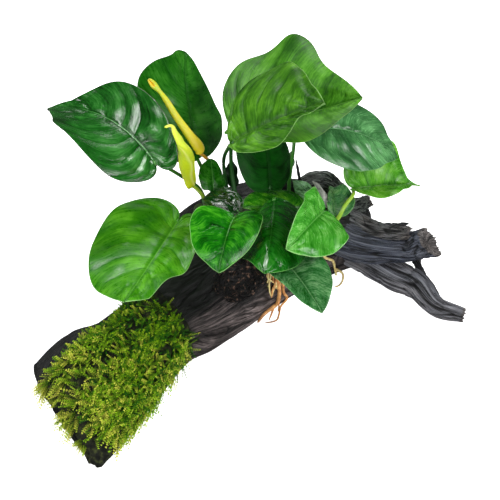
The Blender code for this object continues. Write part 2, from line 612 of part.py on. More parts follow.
# Roots: routes from the rhizome over the log's top edge and down its front, with radius and taper
ROOTS = {
    "root_front_long": dict(
        route=[(16, 5, 53), (16, -3, 52.5), (16.5, -9.5, 49), (17, -14, 44), (17, -18.5, 36),
               (17, -19, 27), (18, -19, 19), (17, -20, 9), (14, -22.5, 7.5), (8.5, -27.5, 7),
               (4.5, -31, 3)],
        radius=1.5, taper=0.7, mat="root_orange"),
    "root_front_short": dict(
        route=[(23.5, 5, 53), (22.5, -1, 52), (22, -5.5, 48), (21.5, -11.5, 40.5), (20.5, -15, 29),
               (20.5, -16.5, 16), (23, -14, 6), (19, -18.5, 3), (18, -23.5, 2), (16, -28.5, 2),
               (8.5, -30.5, 2)],
        radius=1.3, taper=0.35, mat="root_orange"),
    "root_front_pale": dict(
        route=[(11, 5, 53), (11, -3, 53), (10.5, -9, 52), (9.5, -15, 49.5), (9, -21, 44),
               (8.5, -24, 42), (7, -26.5, 36)],
        radius=1.0, taper=0.6, mat="root_pale"),
    "root_right_loop": dict(
        route=[(45.5, 8, 49), (45.5, 4, 45), (45.5, 3, 37), (46, 1, 28), (51.5, 5, 19.5),
               (53.5, 6, 10.5), (54.5, 4.5, 5)],
        radius=1.1, taper=0.6, mat="root_pale"),
    "root_right_ring": dict(
        route=[(53.5, 6, 10.5), (58, 3.5, 9), (58.5, 1, 6), (56.5, -2, 4), (53.5, -3, 3)],
        radius=0.8, taper=0.6, mat="root_pale"),
}


ROOT_MAT_CENTRE = np.array([-6, -27, 43])
ROOT_MAT_RADII = (16, 12, 10)
ROOT_MAT_LEAN = 38           # degrees its long side is turned from +X towards +Y


def build_root_mat(collection, wood):
    """The clump of old dark roots below the crown: a rough blob cut to the shape of the log."""
    bm = bmesh.new()
    bmesh.ops.create_icosphere(bm, subdivisions=2, radius=1.0)
    points = np.array([v.co[:] for v in bm.verts])
    faces = [[v.index for v in f.verts] for f in bm.faces]
    bm.free()
    rough = 0.07 * np.sin(7 * points[:, 0] + 3) * np.cos(6 * points[:, 1])
    rough += 0.05 * np.sin(9 * points[:, 2])
    points = points * (1 + rough)[:, None] * ROOT_MAT_RADII
    lean = math.radians(ROOT_MAT_LEAN)
    x = points[:, 0] * math.cos(lean) - points[:, 1] * math.sin(lean)
    y = points[:, 0] * math.sin(lean) + points[:, 1] * math.cos(lean)
    obj = add_object("root_mat", np.column_stack([x, y, points[:, 2]]) + ROOT_MAT_CENTRE, faces,
                     "root_mat", collection)
    face_outwards(obj)
    cut(obj, wood)
    return obj


def build_root(name, collection, neighbours):
    """A root: a tapering tube that comes out of the rhizome and is cut clear of what it lies on."""
    spec = ROOTS[name]
    obj = curve_tube(name, spec["route"], spec["radius"], spec["mat"], collection, taper=spec["taper"])
    for neighbour in neighbours:
        cut(obj, neighbour)
    return obj


# The moss patch in the log's own numbering: first and last outline, first and last corner
MOSS_FIRST_RING = 1
MOSS_LAST_RING = 9
MOSS_FIRST_SIDE = 4
MOSS_LAST_SIDE = 13


def build_moss(collection):
    """The moss cushion: a shell over the log's left end. Its inner side follows the log's own faces
    a small gap above them, its outer side swells over the middle and falls to the rim."""
    rings = log_rings()
    points, faces = loft(rings)
    normals = corner_normals(points, faces)
    ring_count = MOSS_LAST_RING - MOSS_FIRST_RING + 1
    side_count = MOSS_LAST_SIDE - MOSS_FIRST_SIDE + 1
    inner = []
    outer = []
    for i in range(ring_count):
        for j in range(side_count):
            corner = (MOSS_FIRST_RING + i) * LOG_SIDES + MOSS_FIRST_SIDE + j
            along = min(1.0, 2.2 * math.sin(math.pi * (i + 0.35) / (ring_count - 0.3)))
            around = min(1.0, 2.0 * math.sin(math.pi * (j + 0.35) / (side_count - 0.3)))
            lump = 1 + 0.12 * math.sin(1.9 * i + 0.7) * math.cos(1.3 * j)
            front = 1 - 0.45 * max(0.0, (j - 5) / (side_count - 6))
            swell = 1.2 + MOSS_THICKNESS * along * around * lump * front
            lift = points[corner] + normals[corner] * (GAP + 0.3)
            inner.append(lift)
            outer.append(lift + normals[corner] * swell)
    shell = inner + outer
    faces = []
    above = len(inner)
    for i in range(ring_count - 1):
        for j in range(side_count - 1):
            a = i * side_count + j
            b, c, d = a + 1, a + side_count + 1, a + side_count
            faces += [(a, b, c), (a, c, d), (above + a, above + c, above + b),
                      (above + a, above + d, above + c)]
    rim = list(range(side_count))
    rim += [i * side_count + side_count - 1 for i in range(1, ring_count)]
    rim += [(ring_count - 1) * side_count + j for j in range(side_count - 2, -1, -1)]
    rim += [i * side_count for i in range(ring_count - 2, 0, -1)]
    for a, b in zip(rim, rim[1:] + rim[:1]):
        faces += [(a, above + a, above + b), (a, above + b, b)]
    shell = np.array(shell)
    shell[:, 2] = np.maximum(shell[:, 2], 0.5)
    obj = add_object("moss_cushion", shell, faces, "moss", collection)
    face_outwards(obj)
    return obj


def main():
    for obj in list(bpy.data.objects):
        bpy.data.objects.remove(obj)
    parts = bpy.data.collections.new("anubias_on_driftwood")
    cutters = bpy.data.collections.new("cutters")
    bpy.context.scene.collection.children.link(parts)
    bpy.context.scene.collection.children.link(cutters)

    log = build_log(parts)
    log_clear = swollen_copy(log, GAP, cutters)
    cutters_so_far = [log_clear]
    for name in BRANCHES:
        branch = build_branch(name, parts, cutters_so_far)
        cutters_so_far.append(swollen_copy(branch, GAP, cutters))

    rhizome = build_rhizome(parts, log_clear)
    rhizome_clear = swollen_copy(rhizome, GAP, cutters)
    for name in LEAVES:
        build_blade(name, parts)
        small = LEAVES[name]["length"] < SMALL_LEAF
        radius = SMALL_STALK_RADIUS if small else STALK_RADIUS
        stalk = curve_tube(name.replace("leaf", "stalk", 1), stalk_route(name), radius, "stalk", parts,
                           taper=0.7)
        cut(stalk, rhizome_clear)
    for name in SPATHES:
        build_spathe(name, parts, cutters, rhizome_clear)
    root_cutters = [rhizome_clear, log_clear]
    root_cutters.append(swollen_copy(build_root_mat(parts, log_clear), GAP, cutters))
    for name in ROOTS:
        root_cutters.append(swollen_copy(build_root(name, parts, root_cutters), GAP, cutters))
    build_moss(parts)


main()
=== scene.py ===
# %% [markdown]
# # An anubias on a piece of dark driftwood
# The object is an aquarium plant. A thick creeping stem lies on a piece of dark wood and carries heart-shaped
# leaves, two flower sheaths and pale roots; a cushion of moss covers the wood's left end. The packed model
# gives plain solids for all of them. This script dresses each solid with a finer surface and a material.
# The camera, the floor and the lights come first, so that every later piece can be looked at once it is made.

# %% Load the packed model and note its size
import math

import bpy
import numpy as np
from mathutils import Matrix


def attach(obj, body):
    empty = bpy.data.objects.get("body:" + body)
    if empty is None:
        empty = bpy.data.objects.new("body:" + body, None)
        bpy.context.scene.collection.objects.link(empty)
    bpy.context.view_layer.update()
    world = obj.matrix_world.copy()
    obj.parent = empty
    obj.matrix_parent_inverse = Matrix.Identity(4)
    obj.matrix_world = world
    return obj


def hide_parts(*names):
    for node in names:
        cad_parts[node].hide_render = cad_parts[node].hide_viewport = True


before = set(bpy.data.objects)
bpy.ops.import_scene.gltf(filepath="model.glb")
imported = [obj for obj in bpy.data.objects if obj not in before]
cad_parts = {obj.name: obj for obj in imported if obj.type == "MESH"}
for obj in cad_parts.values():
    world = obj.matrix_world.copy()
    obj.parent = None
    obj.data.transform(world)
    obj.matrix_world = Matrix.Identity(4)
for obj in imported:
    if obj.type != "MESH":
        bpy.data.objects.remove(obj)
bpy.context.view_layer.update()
MM = 0.001
TAU = 2 * math.pi
print("nodes in the packed model:", len(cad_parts))

# %% [markdown]
# ## Camera, floor and lights
# The plant is seen from the front and from about 50 degrees above, with a long lens. A camera could be aimed
# by hand, but a place and a tilt worked out from the viewing angle are easier to check. The floor is one pale
# sheet that gives off its own light, so that it stays evenly white. Two soft lights behind the plant give the
# leaves their gloss, and three more, at the left, in front and at the right, open the shadows.

# %% Camera
VIEW_HEIGHT = math.radians(50)
VIEW_DISTANCE = 0.767                      # metres
LOOKED_AT = np.array([0.0, 0.030, 0.0])    # metres
LONG_LENS = 85                             # millimetres, as is the width of the film
FILM_WIDTH = 36
camera_data = bpy.data.cameras.new("camera")
camera_data.lens = LONG_LENS
camera_data.sensor_width = FILM_WIDTH
camera = bpy.data.objects.new("camera", camera_data)
back_towards_camera = np.array([0.0, -math.cos(VIEW_HEIGHT), math.sin(VIEW_HEIGHT)])
camera.location = LOOKED_AT + VIEW_DISTANCE * back_towards_camera
camera.rotation_euler = (math.pi / 2 - VIEW_HEIGHT, 0, 0)
bpy.context.scene.collection.objects.link(camera)
bpy.context.scene.camera = camera
bpy.context.scene.view_settings.view_transform = "Standard"
print("camera at", [round(float(c), 3) for c in camera.location])


# %% Floor
FLOOR_HALF = 8.0        # metres
FLOOR_BELOW = 0.0002    # how far it lies under the wood, so that the two don't touch
floor_corners = [(x * FLOOR_HALF, y * FLOOR_HALF, -FLOOR_BELOW)
                 for x, y in ((-1, -1), (1, -1), (1, 1), (-1, 1))]
floor_mesh = bpy.data.meshes.new("floor")
floor_mesh.from_pydata(floor_corners, [], [(0, 1, 2, 3)])
floor = bpy.data.objects.new("floor", floor_mesh)
bpy.context.scene.collection.objects.link(floor)
floor_paint = bpy.data.materials.new("pale floor")
floor_paint.use_nodes = True
floor_shader = floor_paint.node_tree.nodes["Principled BSDF"]
floor_shader.inputs["Base Color"].default_value = (0.85, 0.85, 0.85, 1)
floor_shader.inputs["Roughness"].default_value = 0.9
floor_shader.inputs["Emission Color"].default_value = (1, 1, 1, 1)
floor_shader.inputs["Emission Strength"].default_value = 1.0
floor_mesh.materials.append(floor_paint)
floor.visible_glossy = False
print("floor width in metres:", 2 * FLOOR_HALF)


# %% Lights
def add_softbox(name, place, aim, size, power):
    """A square area light at a place, turned so that its face looks at the aim: its tilt is the arc cosine of
    the height of the direction away from the aim, and its heading is that direction's own."""
    data = bpy.data.lights.new(name, "AREA")
    data.shape = "SQUARE"
    data.size = size
    data.energy = power
    lamp = bpy.data.objects.new(name, data)
    place, aim = np.array(place, float), np.array(aim, float)
    away = (place - aim) / np.linalg.norm(place - aim)
    lamp.location = place
    lamp.rotation_euler = (math.acos(away[2]), 0, math.atan2(away[0], -away[1]))
    bpy.context.scene.collection.objects.link(lamp)


ROOM_LIGHT = 0.05
room = bpy.data.worlds.new("soft room")
room.use_nodes = True
room.node_tree.nodes["Background"].inputs["Color"].default_value = (1, 1, 1, 1)
room.node_tree.nodes["Background"].inputs["Strength"].default_value = ROOM_LIGHT
bpy.context.scene.world = room
# Each softbox: its place, what it is aimed at and its width, in metres, and its power in watts
SOFTBOXES = {
    "back softbox": ((-0.35, 1.00, 1.25), (0, 0.03, 0.06), 0.40, 15.5),
    "low back softbox": ((-0.25, 1.35, 0.52), (0, 0.03, 0.06), 0.30, 1.4),
    "left softbox": ((-1.10, -0.20, 1.00), (0, 0, 0.06), 0.45, 11),
    "front softbox": ((0.35, -1.15, 1.05), (0, 0, 0.05), 0.60, 16.5),
    "right softbox": ((1.15, -0.10, 0.95), (0, 0, 0.05), 0.50, 12.5),
}
for softbox_name, (place, aim, width, power) in SOFTBOXES.items():
    add_softbox(softbox_name, place, aim, width, power)


# %% [markdown]
# ## Helpers: paths, waves and closed skins
# Nearly every piece here is a skin between rings of points: a blade, a stalk, the trunk. One helper joins any
# stack of rings into a closed mesh and stores numbers on its points, such as the distance from the midrib.
# The materials read these numbers later, so that a pattern follows the piece and not the room.

# %% Paths and smooth waves
def smooth_path(points, count):
    """A curve through the points (Catmull-Rom): each point is a cubic blend of the four nearest ones."""
    pts = np.asarray(points, float)
    ends = np.vstack([2 * pts[0] - pts[1], pts, 2 * pts[-1] - pts[-2]])
    place = np.linspace(0, len(pts) - 1, count)
    i = np.minimum(place.astype(int), len(pts) - 2)
    t = (place - i)[:, None]
    a, b, c, d = ends[i], ends[i + 1], ends[i + 2], ends[i + 3]
    return 0.5 * (2 * b + (c - a) * t + (2 * a - 5 * b + 4 * c - d) * t**2
                  + (3 * b - a - 3 * c + d) * t**3)


def unit(vectors):
    """Each vector divided by its own length."""
    shortest = 1e-12
    return vectors / np.maximum(np.linalg.norm(vectors, axis=-1, keepdims=True), shortest)


def waves(along, around, seed, along_scale, around_scale, count=9):
    """Rough but smooth heights, mostly between -1 and 1: a sum of sine waves with seeded directions and
    starts. The numbers of waves around are whole, so that the pattern meets itself after one turn."""
    draw = np.random.default_rng(seed)
    total = np.zeros(np.broadcast(along, around).shape)
    for _ in range(count):
        across = round(draw.uniform(-1, 1) * around_scale)
        total += np.sin(TAU * (draw.uniform(-1, 1) * along_scale * along + across * around)
                        + draw.uniform(0, TAU))
    return total / math.sqrt(count * 2)


def ease(value, low, high):
    """0 below low, 1 above high and a soft S between."""
    t = np.clip((value - low) / (high - low), 0, 1)
    return t * t * (3 - 2 * t)


print("a path through 3 points, read at 5:", smooth_path([(0, 0), (10, 5), (20, 0)], 5).round(1).tolist())


# %% Put a mesh into the scene
def put_mesh(name, points, faces, finish, marks=None, smooth=True):
    """Points in millimetres and a list of face arrays (three or four corners each) become an object.
    marks are numbers stored on the points for the materials."""
    mesh = bpy.data.meshes.new(name)
    corners = np.concatenate([f.ravel() for f in faces]).astype(np.int32)
    sizes = np.concatenate([np.full(len(f), f.shape[1]) for f in faces])
    mesh.vertices.add(len(points))
    mesh.vertices.foreach_set("co", (np.asarray(points) * MM).astype(np.float32).ravel())
    mesh.loops.add(len(corners))
    mesh.loops.foreach_set("vertex_index", corners)
    mesh.polygons.add(len(sizes))
    mesh.polygons.foreach_set("loop_start", np.concatenate([[0], np.cumsum(sizes)[:-1]]).astype(np.int32))
    mesh.update(calc_edges=True)
    mesh.validate()
    for mark, values in (marks or {}).items():
        layer = mesh.attributes.new(mark, "FLOAT", "POINT")
        layer.data.foreach_set("value", np.asarray(values, np.float32).ravel())
    if smooth:
        mesh.shade_smooth()
    mesh.materials.append(finish)
    obj = bpy.data.objects.new(name, mesh)
    bpy.context.scene.collection.objects.link(obj)
    return obj


# %% Closed skins
def skin(rings, poles=None):
    """Points and faces of a closed skin over a stack of rings (rows of points that close round). A pole
    closes each end. The faces are turned so that the volume they enclose comes out positive."""
    rings = np.asarray(rings, float)
    n, m = rings.shape[:2]
    poles = np.stack([rings[0].mean(0), rings[-1].mean(0)]) if poles is None else np.asarray(poles, float)
    points = np.concatenate([rings.reshape(-1, 3), poles])
    number = np.arange(n * m).reshape(n, m)
    a, b = number[:-1], number[1:]
    quads = np.stack([a, np.roll(a, -1, 1), np.roll(b, -1, 1), b], -1).reshape(-1, 4)
    first, last = number[0], number[-1]
    fans = np.concatenate([np.stack([np.full(m, n * m), np.roll(first, -1), first], -1),
                           np.stack([np.full(m, n * m + 1), last, np.roll(last, -1)], -1)])
    p, q = points[quads], points[fans]
    volume = (np.einsum("ij,ij->", p[:, 0], np.cross(p[:, 1], p[:, 2]))
              + np.einsum("ij,ij->", p[:, 0], np.cross(p[:, 2], p[:, 3]))
              + np.einsum("ij,ij->", q[:, 0], np.cross(q[:, 1], q[:, 2])))
    if volume < 0:
        quads, fans = quads[:, ::-1], fans[:, ::-1]
    return points, [quads, fans]


def ring_marks(values):
    """Numbers on the rings, then the mean of the first and of the last ring for the two poles, in the order
    in which skin() puts its points."""
    values = np.asarray(values, float)
    return np.concatenate([values.ravel(), [values[0].mean(), values[-1].mean()]])


print("points of a skin over 3 rings of 4:", len(skin(np.ones((3, 4, 3)))[0]))


# %% Tubes, and the direction out of a surface
def path_frame(route):
    """Two directions across a path, one level and one as upright as possible."""
    along = unit(np.gradient(route, axis=0))
    side = unit(np.cross(along, (0.0, 0.0, 1.0)))
    return side, np.cross(side, along)


def tube(route, radii, sides, flatten=1.0, rough=0.0):
    """Rings round a path: centre + radius * (1 + rough) * (side * cos(a) + up * sin(a) * flatten)."""
    route = np.asarray(route, float)
    side, up = path_frame(route)
    angle = np.arange(sides) * TAU / sides
    radius = (np.asarray(radii, float)[:, None] * (1 + rough))[..., None]
    return (route[:, None] + radius * (side[:, None] * np.cos(angle)[None, :, None]
                                       + up[:, None] * np.sin(angle)[None, :, None] * flatten))


def grid_normals(points, closed=True):
    """The direction out of a grid surface at each point: the cross product of its two differences. A closed
    grid's last column is followed by its first."""
    if closed:
        wide = np.concatenate([points[:, -1:], points, points[:, :1]], 1)
        around = (wide[:, 2:] - wide[:, :-2]) / 2
    else:
        around = np.gradient(points, axis=1)
    return unit(np.cross(np.gradient(points, axis=0), around))


print("rings and sides of a small tube:", tube([(0, 0, 0), (5, 0, 0), (9, 2, 0)], [1, 1, 1], 8).shape[:2])

# %% Settle a piece on the model
made = []


def settle(obj, slot, *nodes):
    """The piece rides on the model's one body and stands for the nodes, which are hidden. The slot is not
    used.
    """
    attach(obj, "root")
    if nodes:
        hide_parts(*nodes)
    made.append(obj)


print("pieces settled so far:", len(made))

# %% [markdown]
# ## Helpers: materials
# A material in Blender is a small network of nodes. Written out node by node it is long and hard to read, so
# each method of the two classes below adds one node and hands back its output. Patterns read object
# coordinates or the numbers stored on the points. Values that are the same all over a surface go straight
# onto the shader.

# %% A material and its patterns
class Patterns:
    """One Principled material; each method adds a node and returns its output."""

    def __init__(self, name, roughness=0.5, **values):
        self.material = bpy.data.materials.new(name)
        self.material.use_nodes = True
        self.tree = self.material.node_tree
        self.shader = self.tree.nodes["Principled BSDF"]
        self.shader.inputs["Roughness"].default_value = roughness
        for socket, value in values.items():
            self.shader.inputs[socket.replace("_", " ")].default_value = value

    def plug(self, socket, value):
        """A link where the value is an output, or a plain number or colour."""
        if isinstance(value, bpy.types.NodeSocket):
            self.tree.links.new(value, socket)
        elif isinstance(value, tuple) and len(value) == 3 and socket.type == "RGBA":
            socket.default_value = (*value, 1.0)
        else:
            socket.default_value = value

    def mark(self, name):
        """The number stored on the points under this name."""
        node = self.tree.nodes.new("ShaderNodeAttribute")
        node.attribute_name = name
        return node.outputs["Fac"]

    def place(self):
        """Object coordinates, in metres."""
        return self.tree.nodes.new("ShaderNodeTexCoord").outputs["Object"]

    def vector(self, x, y, z=0.0):
        """Three numbers joined into a place for a texture."""
        node = self.tree.nodes.new("ShaderNodeCombineXYZ")
        for socket, value in zip(node.inputs, (x, y, z)):
            self.plug(socket, value)
        return node.outputs[0]

    def noise(self, scale, detail, where=None, rough=0.55):
        """Cloudy values round 0.5."""
        node = self.tree.nodes.new("ShaderNodeTexNoise")
        self.plug(node.inputs["Vector"], where or self.place())
        node.inputs["Scale"].default_value = scale
        node.inputs["Detail"].default_value = detail
        node.inputs["Roughness"].default_value = rough
        return node.outputs["Fac"]

    def cells(self, scale):
        """A net of cells: the distance to the nearest border."""
        node = self.tree.nodes.new("ShaderNodeTexVoronoi")
        node.feature = "DISTANCE_TO_EDGE"
        self.plug(node.inputs["Vector"], self.place())
        node.inputs["Scale"].default_value = scale
        return node.outputs["Distance"]


print("where a pattern can start:", [step for step in vars(Patterns) if not step.startswith("_")])


# %% Sums, mixes and relief
class Finish(Patterns):
    """The same material, with arithmetic, colours and relief on top of its patterns."""

    def maths(self, operation, first, second=0.0):
        """One sum, product or other step of arithmetic."""
        node = self.tree.nodes.new("ShaderNodeMath")
        node.operation = operation
        self.plug(node.inputs[0], first)
        self.plug(node.inputs[1], second)
        return node.outputs[0]

    def total(self, *parts):
        """The sum of values, each multiplied by its share: the parts are (share, value) pairs."""
        result, *others = [self.maths("MULTIPLY", value, share) for share, value in parts]
        for other in others:
            result = self.maths("ADD", result, other)
        return result

    def fit(self, value, low, high, start=0.0, end=1.0):
        """value from low..high becomes start..end, held at both ends, with a soft S between."""
        node = self.tree.nodes.new("ShaderNodeMapRange")
        node.interpolation_type = "SMOOTHSTEP"
        for socket, number in zip(node.inputs, (value, low, high, start, end)):
            self.plug(socket, number)
        return node.outputs[0]

    def blend(self, share, first, second):
        """Two colours mixed by a share from 0 to 1."""
        node = self.tree.nodes.new("ShaderNodeMix")
        node.data_type = "RGBA"
        self.plug(node.inputs[0], share)
        self.plug(node.inputs[6], first)
        self.plug(node.inputs[7], second)
        return node.outputs[2]

    def steps(self, value, stops):
        """A colour ramp with (place, colour) stops."""
        node = self.tree.nodes.new("ShaderNodeValToRGB")
        self.plug(node.inputs[0], value)
        ramp = node.color_ramp.elements
        while len(ramp) < len(stops):
            ramp.new(0.5)
        for element, (place, colour) in zip(ramp, stops):
            element.position = place
            element.color = (*colour, 1.0)
        return node.outputs[0]

    def bump(self, height, distance, strength, under=None):
        """Small relief in metres from a height between 0 and 1, on top of the relief under it."""
        node = self.tree.nodes.new("ShaderNodeBump")
        node.inputs["Strength"].default_value = strength
        node.inputs["Distance"].default_value = distance
        self.plug(node.inputs["Height"], height)
        if under is not None:
            self.plug(node.inputs["Normal"], under)
        return node.outputs[0]

    def set(self, **links):
        """Outputs or values for the shader's sockets, where Base_Color stands for Base Color. It gives the
        finished material."""
        for socket, value in links.items():
            self.plug(self.shader.inputs[socket.replace("_", " ")], value)
        return self.material


print("what can follow:", [step for step in vars(Finish) if not step.startswith("_")])

# %% [markdown]
# ## The driftwood trunk
# Waterlogged wood is nearly black, with long ridges, furrows and splits that follow the grain. The trunk
# could be sculpted, but its form has to stay on the packed solid. So the same outline formula is worked out
# again on a fine grid, and waves that are long along the grain and short across it lift and lower the
# surface.

# %% The trunk's outline
# The front foot and the back foot (x, y) and the height at ten places from left to right
LOG_STATIONS = [((-84, -131), (-128, -65), 15), ((-68, -109), (-109, -46), 24),
                ((-53, -86), (-90, -42), 32), ((-37, -60), (-70, -22), 39),
                ((-21, -50), (-58, 4), 45), ((4, -30), (-45, 32), 51),
                ((27, -9), (-12, 54), 52), ((46, 4), (22, 60), 49),
                ((62, 12), (48, 61), 44), ((75, 18), (74, 46), 34)]
LOG_STEPS = 180              # places read along the curves through the stations
LOG_TABLE = smooth_path([(*front, *back, height) for front, back, height in LOG_STATIONS], LOG_STEPS + 1)
LOG_BELLY = 0.35             # height of the widest line, as a share of the trunk's height
LOG_UNDERCUT = 1.6           # depth of the lower half, of which what is below the ground is cut off flat
FRONT_SQUARENESS = 3.6
BACK_SQUARENESS = 2.5


def trunk_surface(s, angle, shrink, outward):
    """The trunk's skin: front and back foot and height are read at s (0 left, 1 right), and a squared
    ellipse is run round them; ridges along the grain scale it; shrink draws an outline in towards its
    middle, and outward moves it along the trunk."""
    place = np.clip(s, 0, 1) * LOG_STEPS
    columns = [np.interp(place, np.arange(len(LOG_TABLE)), LOG_TABLE[:, k]) for k in range(5)]
    front, back, height = np.stack(columns[0:2], -1), np.stack(columns[2:4], -1), columns[4]
    cos, sin = np.cos(angle), np.sin(angle)
    square = np.where(cos < 0, FRONT_SQUARENESS, BACK_SQUARENESS)
    across = np.sign(cos) * np.abs(cos) ** (2 / square)
    upward = np.sign(sin) * np.abs(sin) ** (2 / square)
    turn = angle / TAU
    ridge = (0.020 * np.sin(TAU * (5 * turn + 0.9 * s)) + 0.016 * np.sin(TAU * (9 * turn - 1.3 * s) + 1.0)
             + 0.014 * np.sin(TAU * (3 * turn + 3.1 * s) + 2.0))
    across = across * (1 + ridge) * shrink
    belly = height * LOG_BELLY
    above = belly + (height - belly) * upward * (1 + ridge)
    z = np.where(upward > 0, above, belly + belly * LOG_UNDERCUT * upward)
    z = np.maximum(belly + (z - belly) * shrink, 0.0)
    half = (back - front) / 2
    axis = unit(np.stack([half[..., 1], -half[..., 0]], -1))
    plan = (front + back) / 2 + across[..., None] * half + axis * outward[..., None]
    return np.concatenate([plan, z[..., None]], -1)


print("trunk outlines:", len(LOG_TABLE))


# %% The trunk's smooth form
TRUNK_RINGS = 250
TRUNK_SIDES = 250
END_RINGS = 16               # outlines that shrink towards the middle of each end
LEFT_BULGE = -4.0            # how far each end stands out, in millimetres
RIGHT_BULGE = 2.5
end_shrink = np.linspace(0.08, 1, END_RINGS)
body_s = np.linspace(0, 1, TRUNK_RINGS)[1:-1]
ring_s = np.concatenate([np.zeros(END_RINGS), body_s, np.ones(END_RINGS)])
ring_shrink = np.concatenate([end_shrink, np.ones_like(body_s), end_shrink[::-1]])[:, None]
left_out = LEFT_BULGE * (1 - end_shrink**6)
right_out = RIGHT_BULGE * (1 - end_shrink**4)
ring_out = np.concatenate([left_out, np.zeros_like(body_s), right_out[::-1]])[:, None]
trunk_s, trunk_turn = np.meshgrid(ring_s, np.arange(TRUNK_SIDES) / TRUNK_SIDES, indexing="ij")
trunk = trunk_surface(trunk_s, trunk_turn * TAU, ring_shrink, ring_out * np.ones_like(trunk_s))
print("trunk grid:", trunk.shape[:2])

# %% The trunk's grain and splits
grain_drift = 0.10 * np.sin(TAU * 0.8 * trunk_s + 0.5)
grain_turn = trunk_turn + grain_drift
ridges = waves(trunk_s, grain_turn, 11, 3.5, 17)
fine = waves(trunk_s, grain_turn, 12, 9, 60, 14)
furrow = -np.maximum(0, 1 - np.abs(waves(trunk_s, grain_turn, 13, 3, 12)) * 5) ** 1.5
# Where each split runs round the trunk, its drift, where it starts and ends, its depth and its width
SPLITS = [
    (0.395, -0.020, 0.36, 0.66, 1.8, 0.0050), (0.435, 0.010, 0.28, 0.58, 1.3, 0.0040),
    (0.335, 0.015, 0.40, 0.72, 1.6, 0.0045), (0.465, 0.012, 0.45, 0.75, 1.2, 0.0040),
    (0.300, -0.030, 0.30, 0.52, 1.5, 0.0045), (0.250, 0.020, 0.34, 0.50, 1.0, 0.0040),
    (0.120, 0.030, 0.62, 0.95, 1.8, 0.0060), (0.180, -0.020, 0.70, 0.98, 1.6, 0.0050),
    (0.060, 0.015, 0.30, 0.70, 1.4, 0.0050),
]
splits = np.zeros_like(trunk_s)
for at, drift, first, last, depth, width in SPLITS:
    line = at + drift * (trunk_s - first) / (last - first) + 0.004 * np.sin(40 * trunk_s + at * 50)
    fade = ease(trunk_s, first, first + 0.05) * (1 - ease(trunk_s, last - 0.08, last))
    splits -= depth * fade * np.exp(-((trunk_turn - line) / width) ** 2)
relief = (0.70 * ridges + 0.30 * fine + 0.85 * furrow) * (0.3 + 0.7 * ring_shrink) + splits
print("trunk relief in millimetres:", round(float(relief.min()), 2), "to", round(float(relief.max()), 2))

# %% The trunk's skin
trunk_normal = grid_normals(trunk)
middle = trunk.mean(1, keepdims=True)
trunk_normal *= np.sign(np.sum(trunk_normal * (trunk - middle), -1, keepdims=True))
above_foot = ease(trunk[..., 2], 0.2, 4.0)
end_rough = (1 - ring_shrink) * waves(ring_shrink * 3, trunk_turn, 14, 2, 23) * 1.2
trunk = trunk + trunk_normal * ((relief + end_rough) * above_foot)[..., None]
trunk[..., 2] = np.maximum(trunk[..., 2], 0.0)
trunk_points, trunk_faces = skin(trunk)
print("trunk skin:", len(trunk_points), "points")

# %% [markdown]
# The wood's colour follows its grain: streaks that are long along the trunk and fine across it. A noise
# texture does that when it is fed with the distance along and around the wood, stored on the points, instead
# of with the place in the room. The furrows are painted darker than the ridges, as painted shade, so the
# relief is stored as well.


# %% Wood material
def wood_finish(name, dark, middle, light, brown, roughness=0.50):
    """Dark wet wood: straight fibres of two widths, paler on ridges, brown where the front mark says so,
    black along thin splits, and black in the furrows of the relief as painted shade. Every pattern is
    stretched along the grain."""
    black = (0.002, 0.002, 0.002)
    f = Finish(name, Specular_IOR_Level=0.35)
    along, around = f.mark("grain_along"), f.mark("grain_around")

    def grain(stretch, fineness, detail, shift):
        """Noise that changes slowly along the grain and fast across it."""
        where = f.vector(f.maths("MULTIPLY", along, stretch), f.maths("MULTIPLY", around, fineness), shift)
        return f.noise(1.0, detail, where, 0.64)

    streaks = grain(0.034, 0.60, 10, 0.0)
    hair = grain(0.060, 2.10, 8, 4.0)
    split = f.maths("ABSOLUTE", f.maths("SUBTRACT", grain(0.020, 0.24, 2, 9.0), 0.5))
    patches = f.noise(70, 5)
    colour = f.steps(streaks, [(0.43, dark), (0.51, middle), (0.60, light)])
    brown_share = f.maths("MULTIPLY", f.mark("front"), f.fit(patches, 0.38, 0.58, 0.45, 1.0))
    brown_streaks = f.steps(streaks, [(0.40, tuple(0.16 * c for c in brown)), (0.50, brown),
                                      (0.60, tuple(1.8 * c for c in brown))])
    colour = f.blend(brown_share, colour, brown_streaks)
    colour = f.blend(f.fit(hair, 0.54, 0.58, 0.0, 0.65), colour, light)
    colour = f.blend(f.fit(hair, 0.43, 0.47, 0.80, 0.0), colour, tuple(0.4 * c for c in dark))
    # painted shade: the furrows of the relief are darkened to black
    colour = f.blend(f.fit(f.mark("relief"), -1.3, -0.2, 0.95, 0.0), colour, black)
    colour = f.blend(f.fit(split, 0.0, 0.022, 0.85, 0.0), colour, black)
    colour = f.blend(f.fit(f.mark("relief"), 0.45, 1.2, 0.0, 0.45), colour, light)
    rough = f.fit(patches, 0.3, 0.7, roughness - 0.12, roughness + 0.20)
    normal = f.bump(streaks, 0.0016, 0.8)
    normal = f.bump(hair, 0.0008, 0.8, normal)
    normal = f.bump(f.fit(split, 0.0, 0.04), 0.0006, 0.8, normal)
    normal = f.bump(f.noise(1100, 5), 0.0004, 0.5, normal)
    return f.set(Base_Color=colour, Roughness=rough, Normal=normal)


def wood_marks(along, around, relief, front):
    """The four numbers that the wood material reads: millimetres along the grain and around it, the relief
    in millimetres, and how much of the brown shows (0 to 1)."""
    return {"grain_along": ring_marks(along), "grain_around": ring_marks(around),
            "relief": ring_marks(relief), "front": ring_marks(front)}


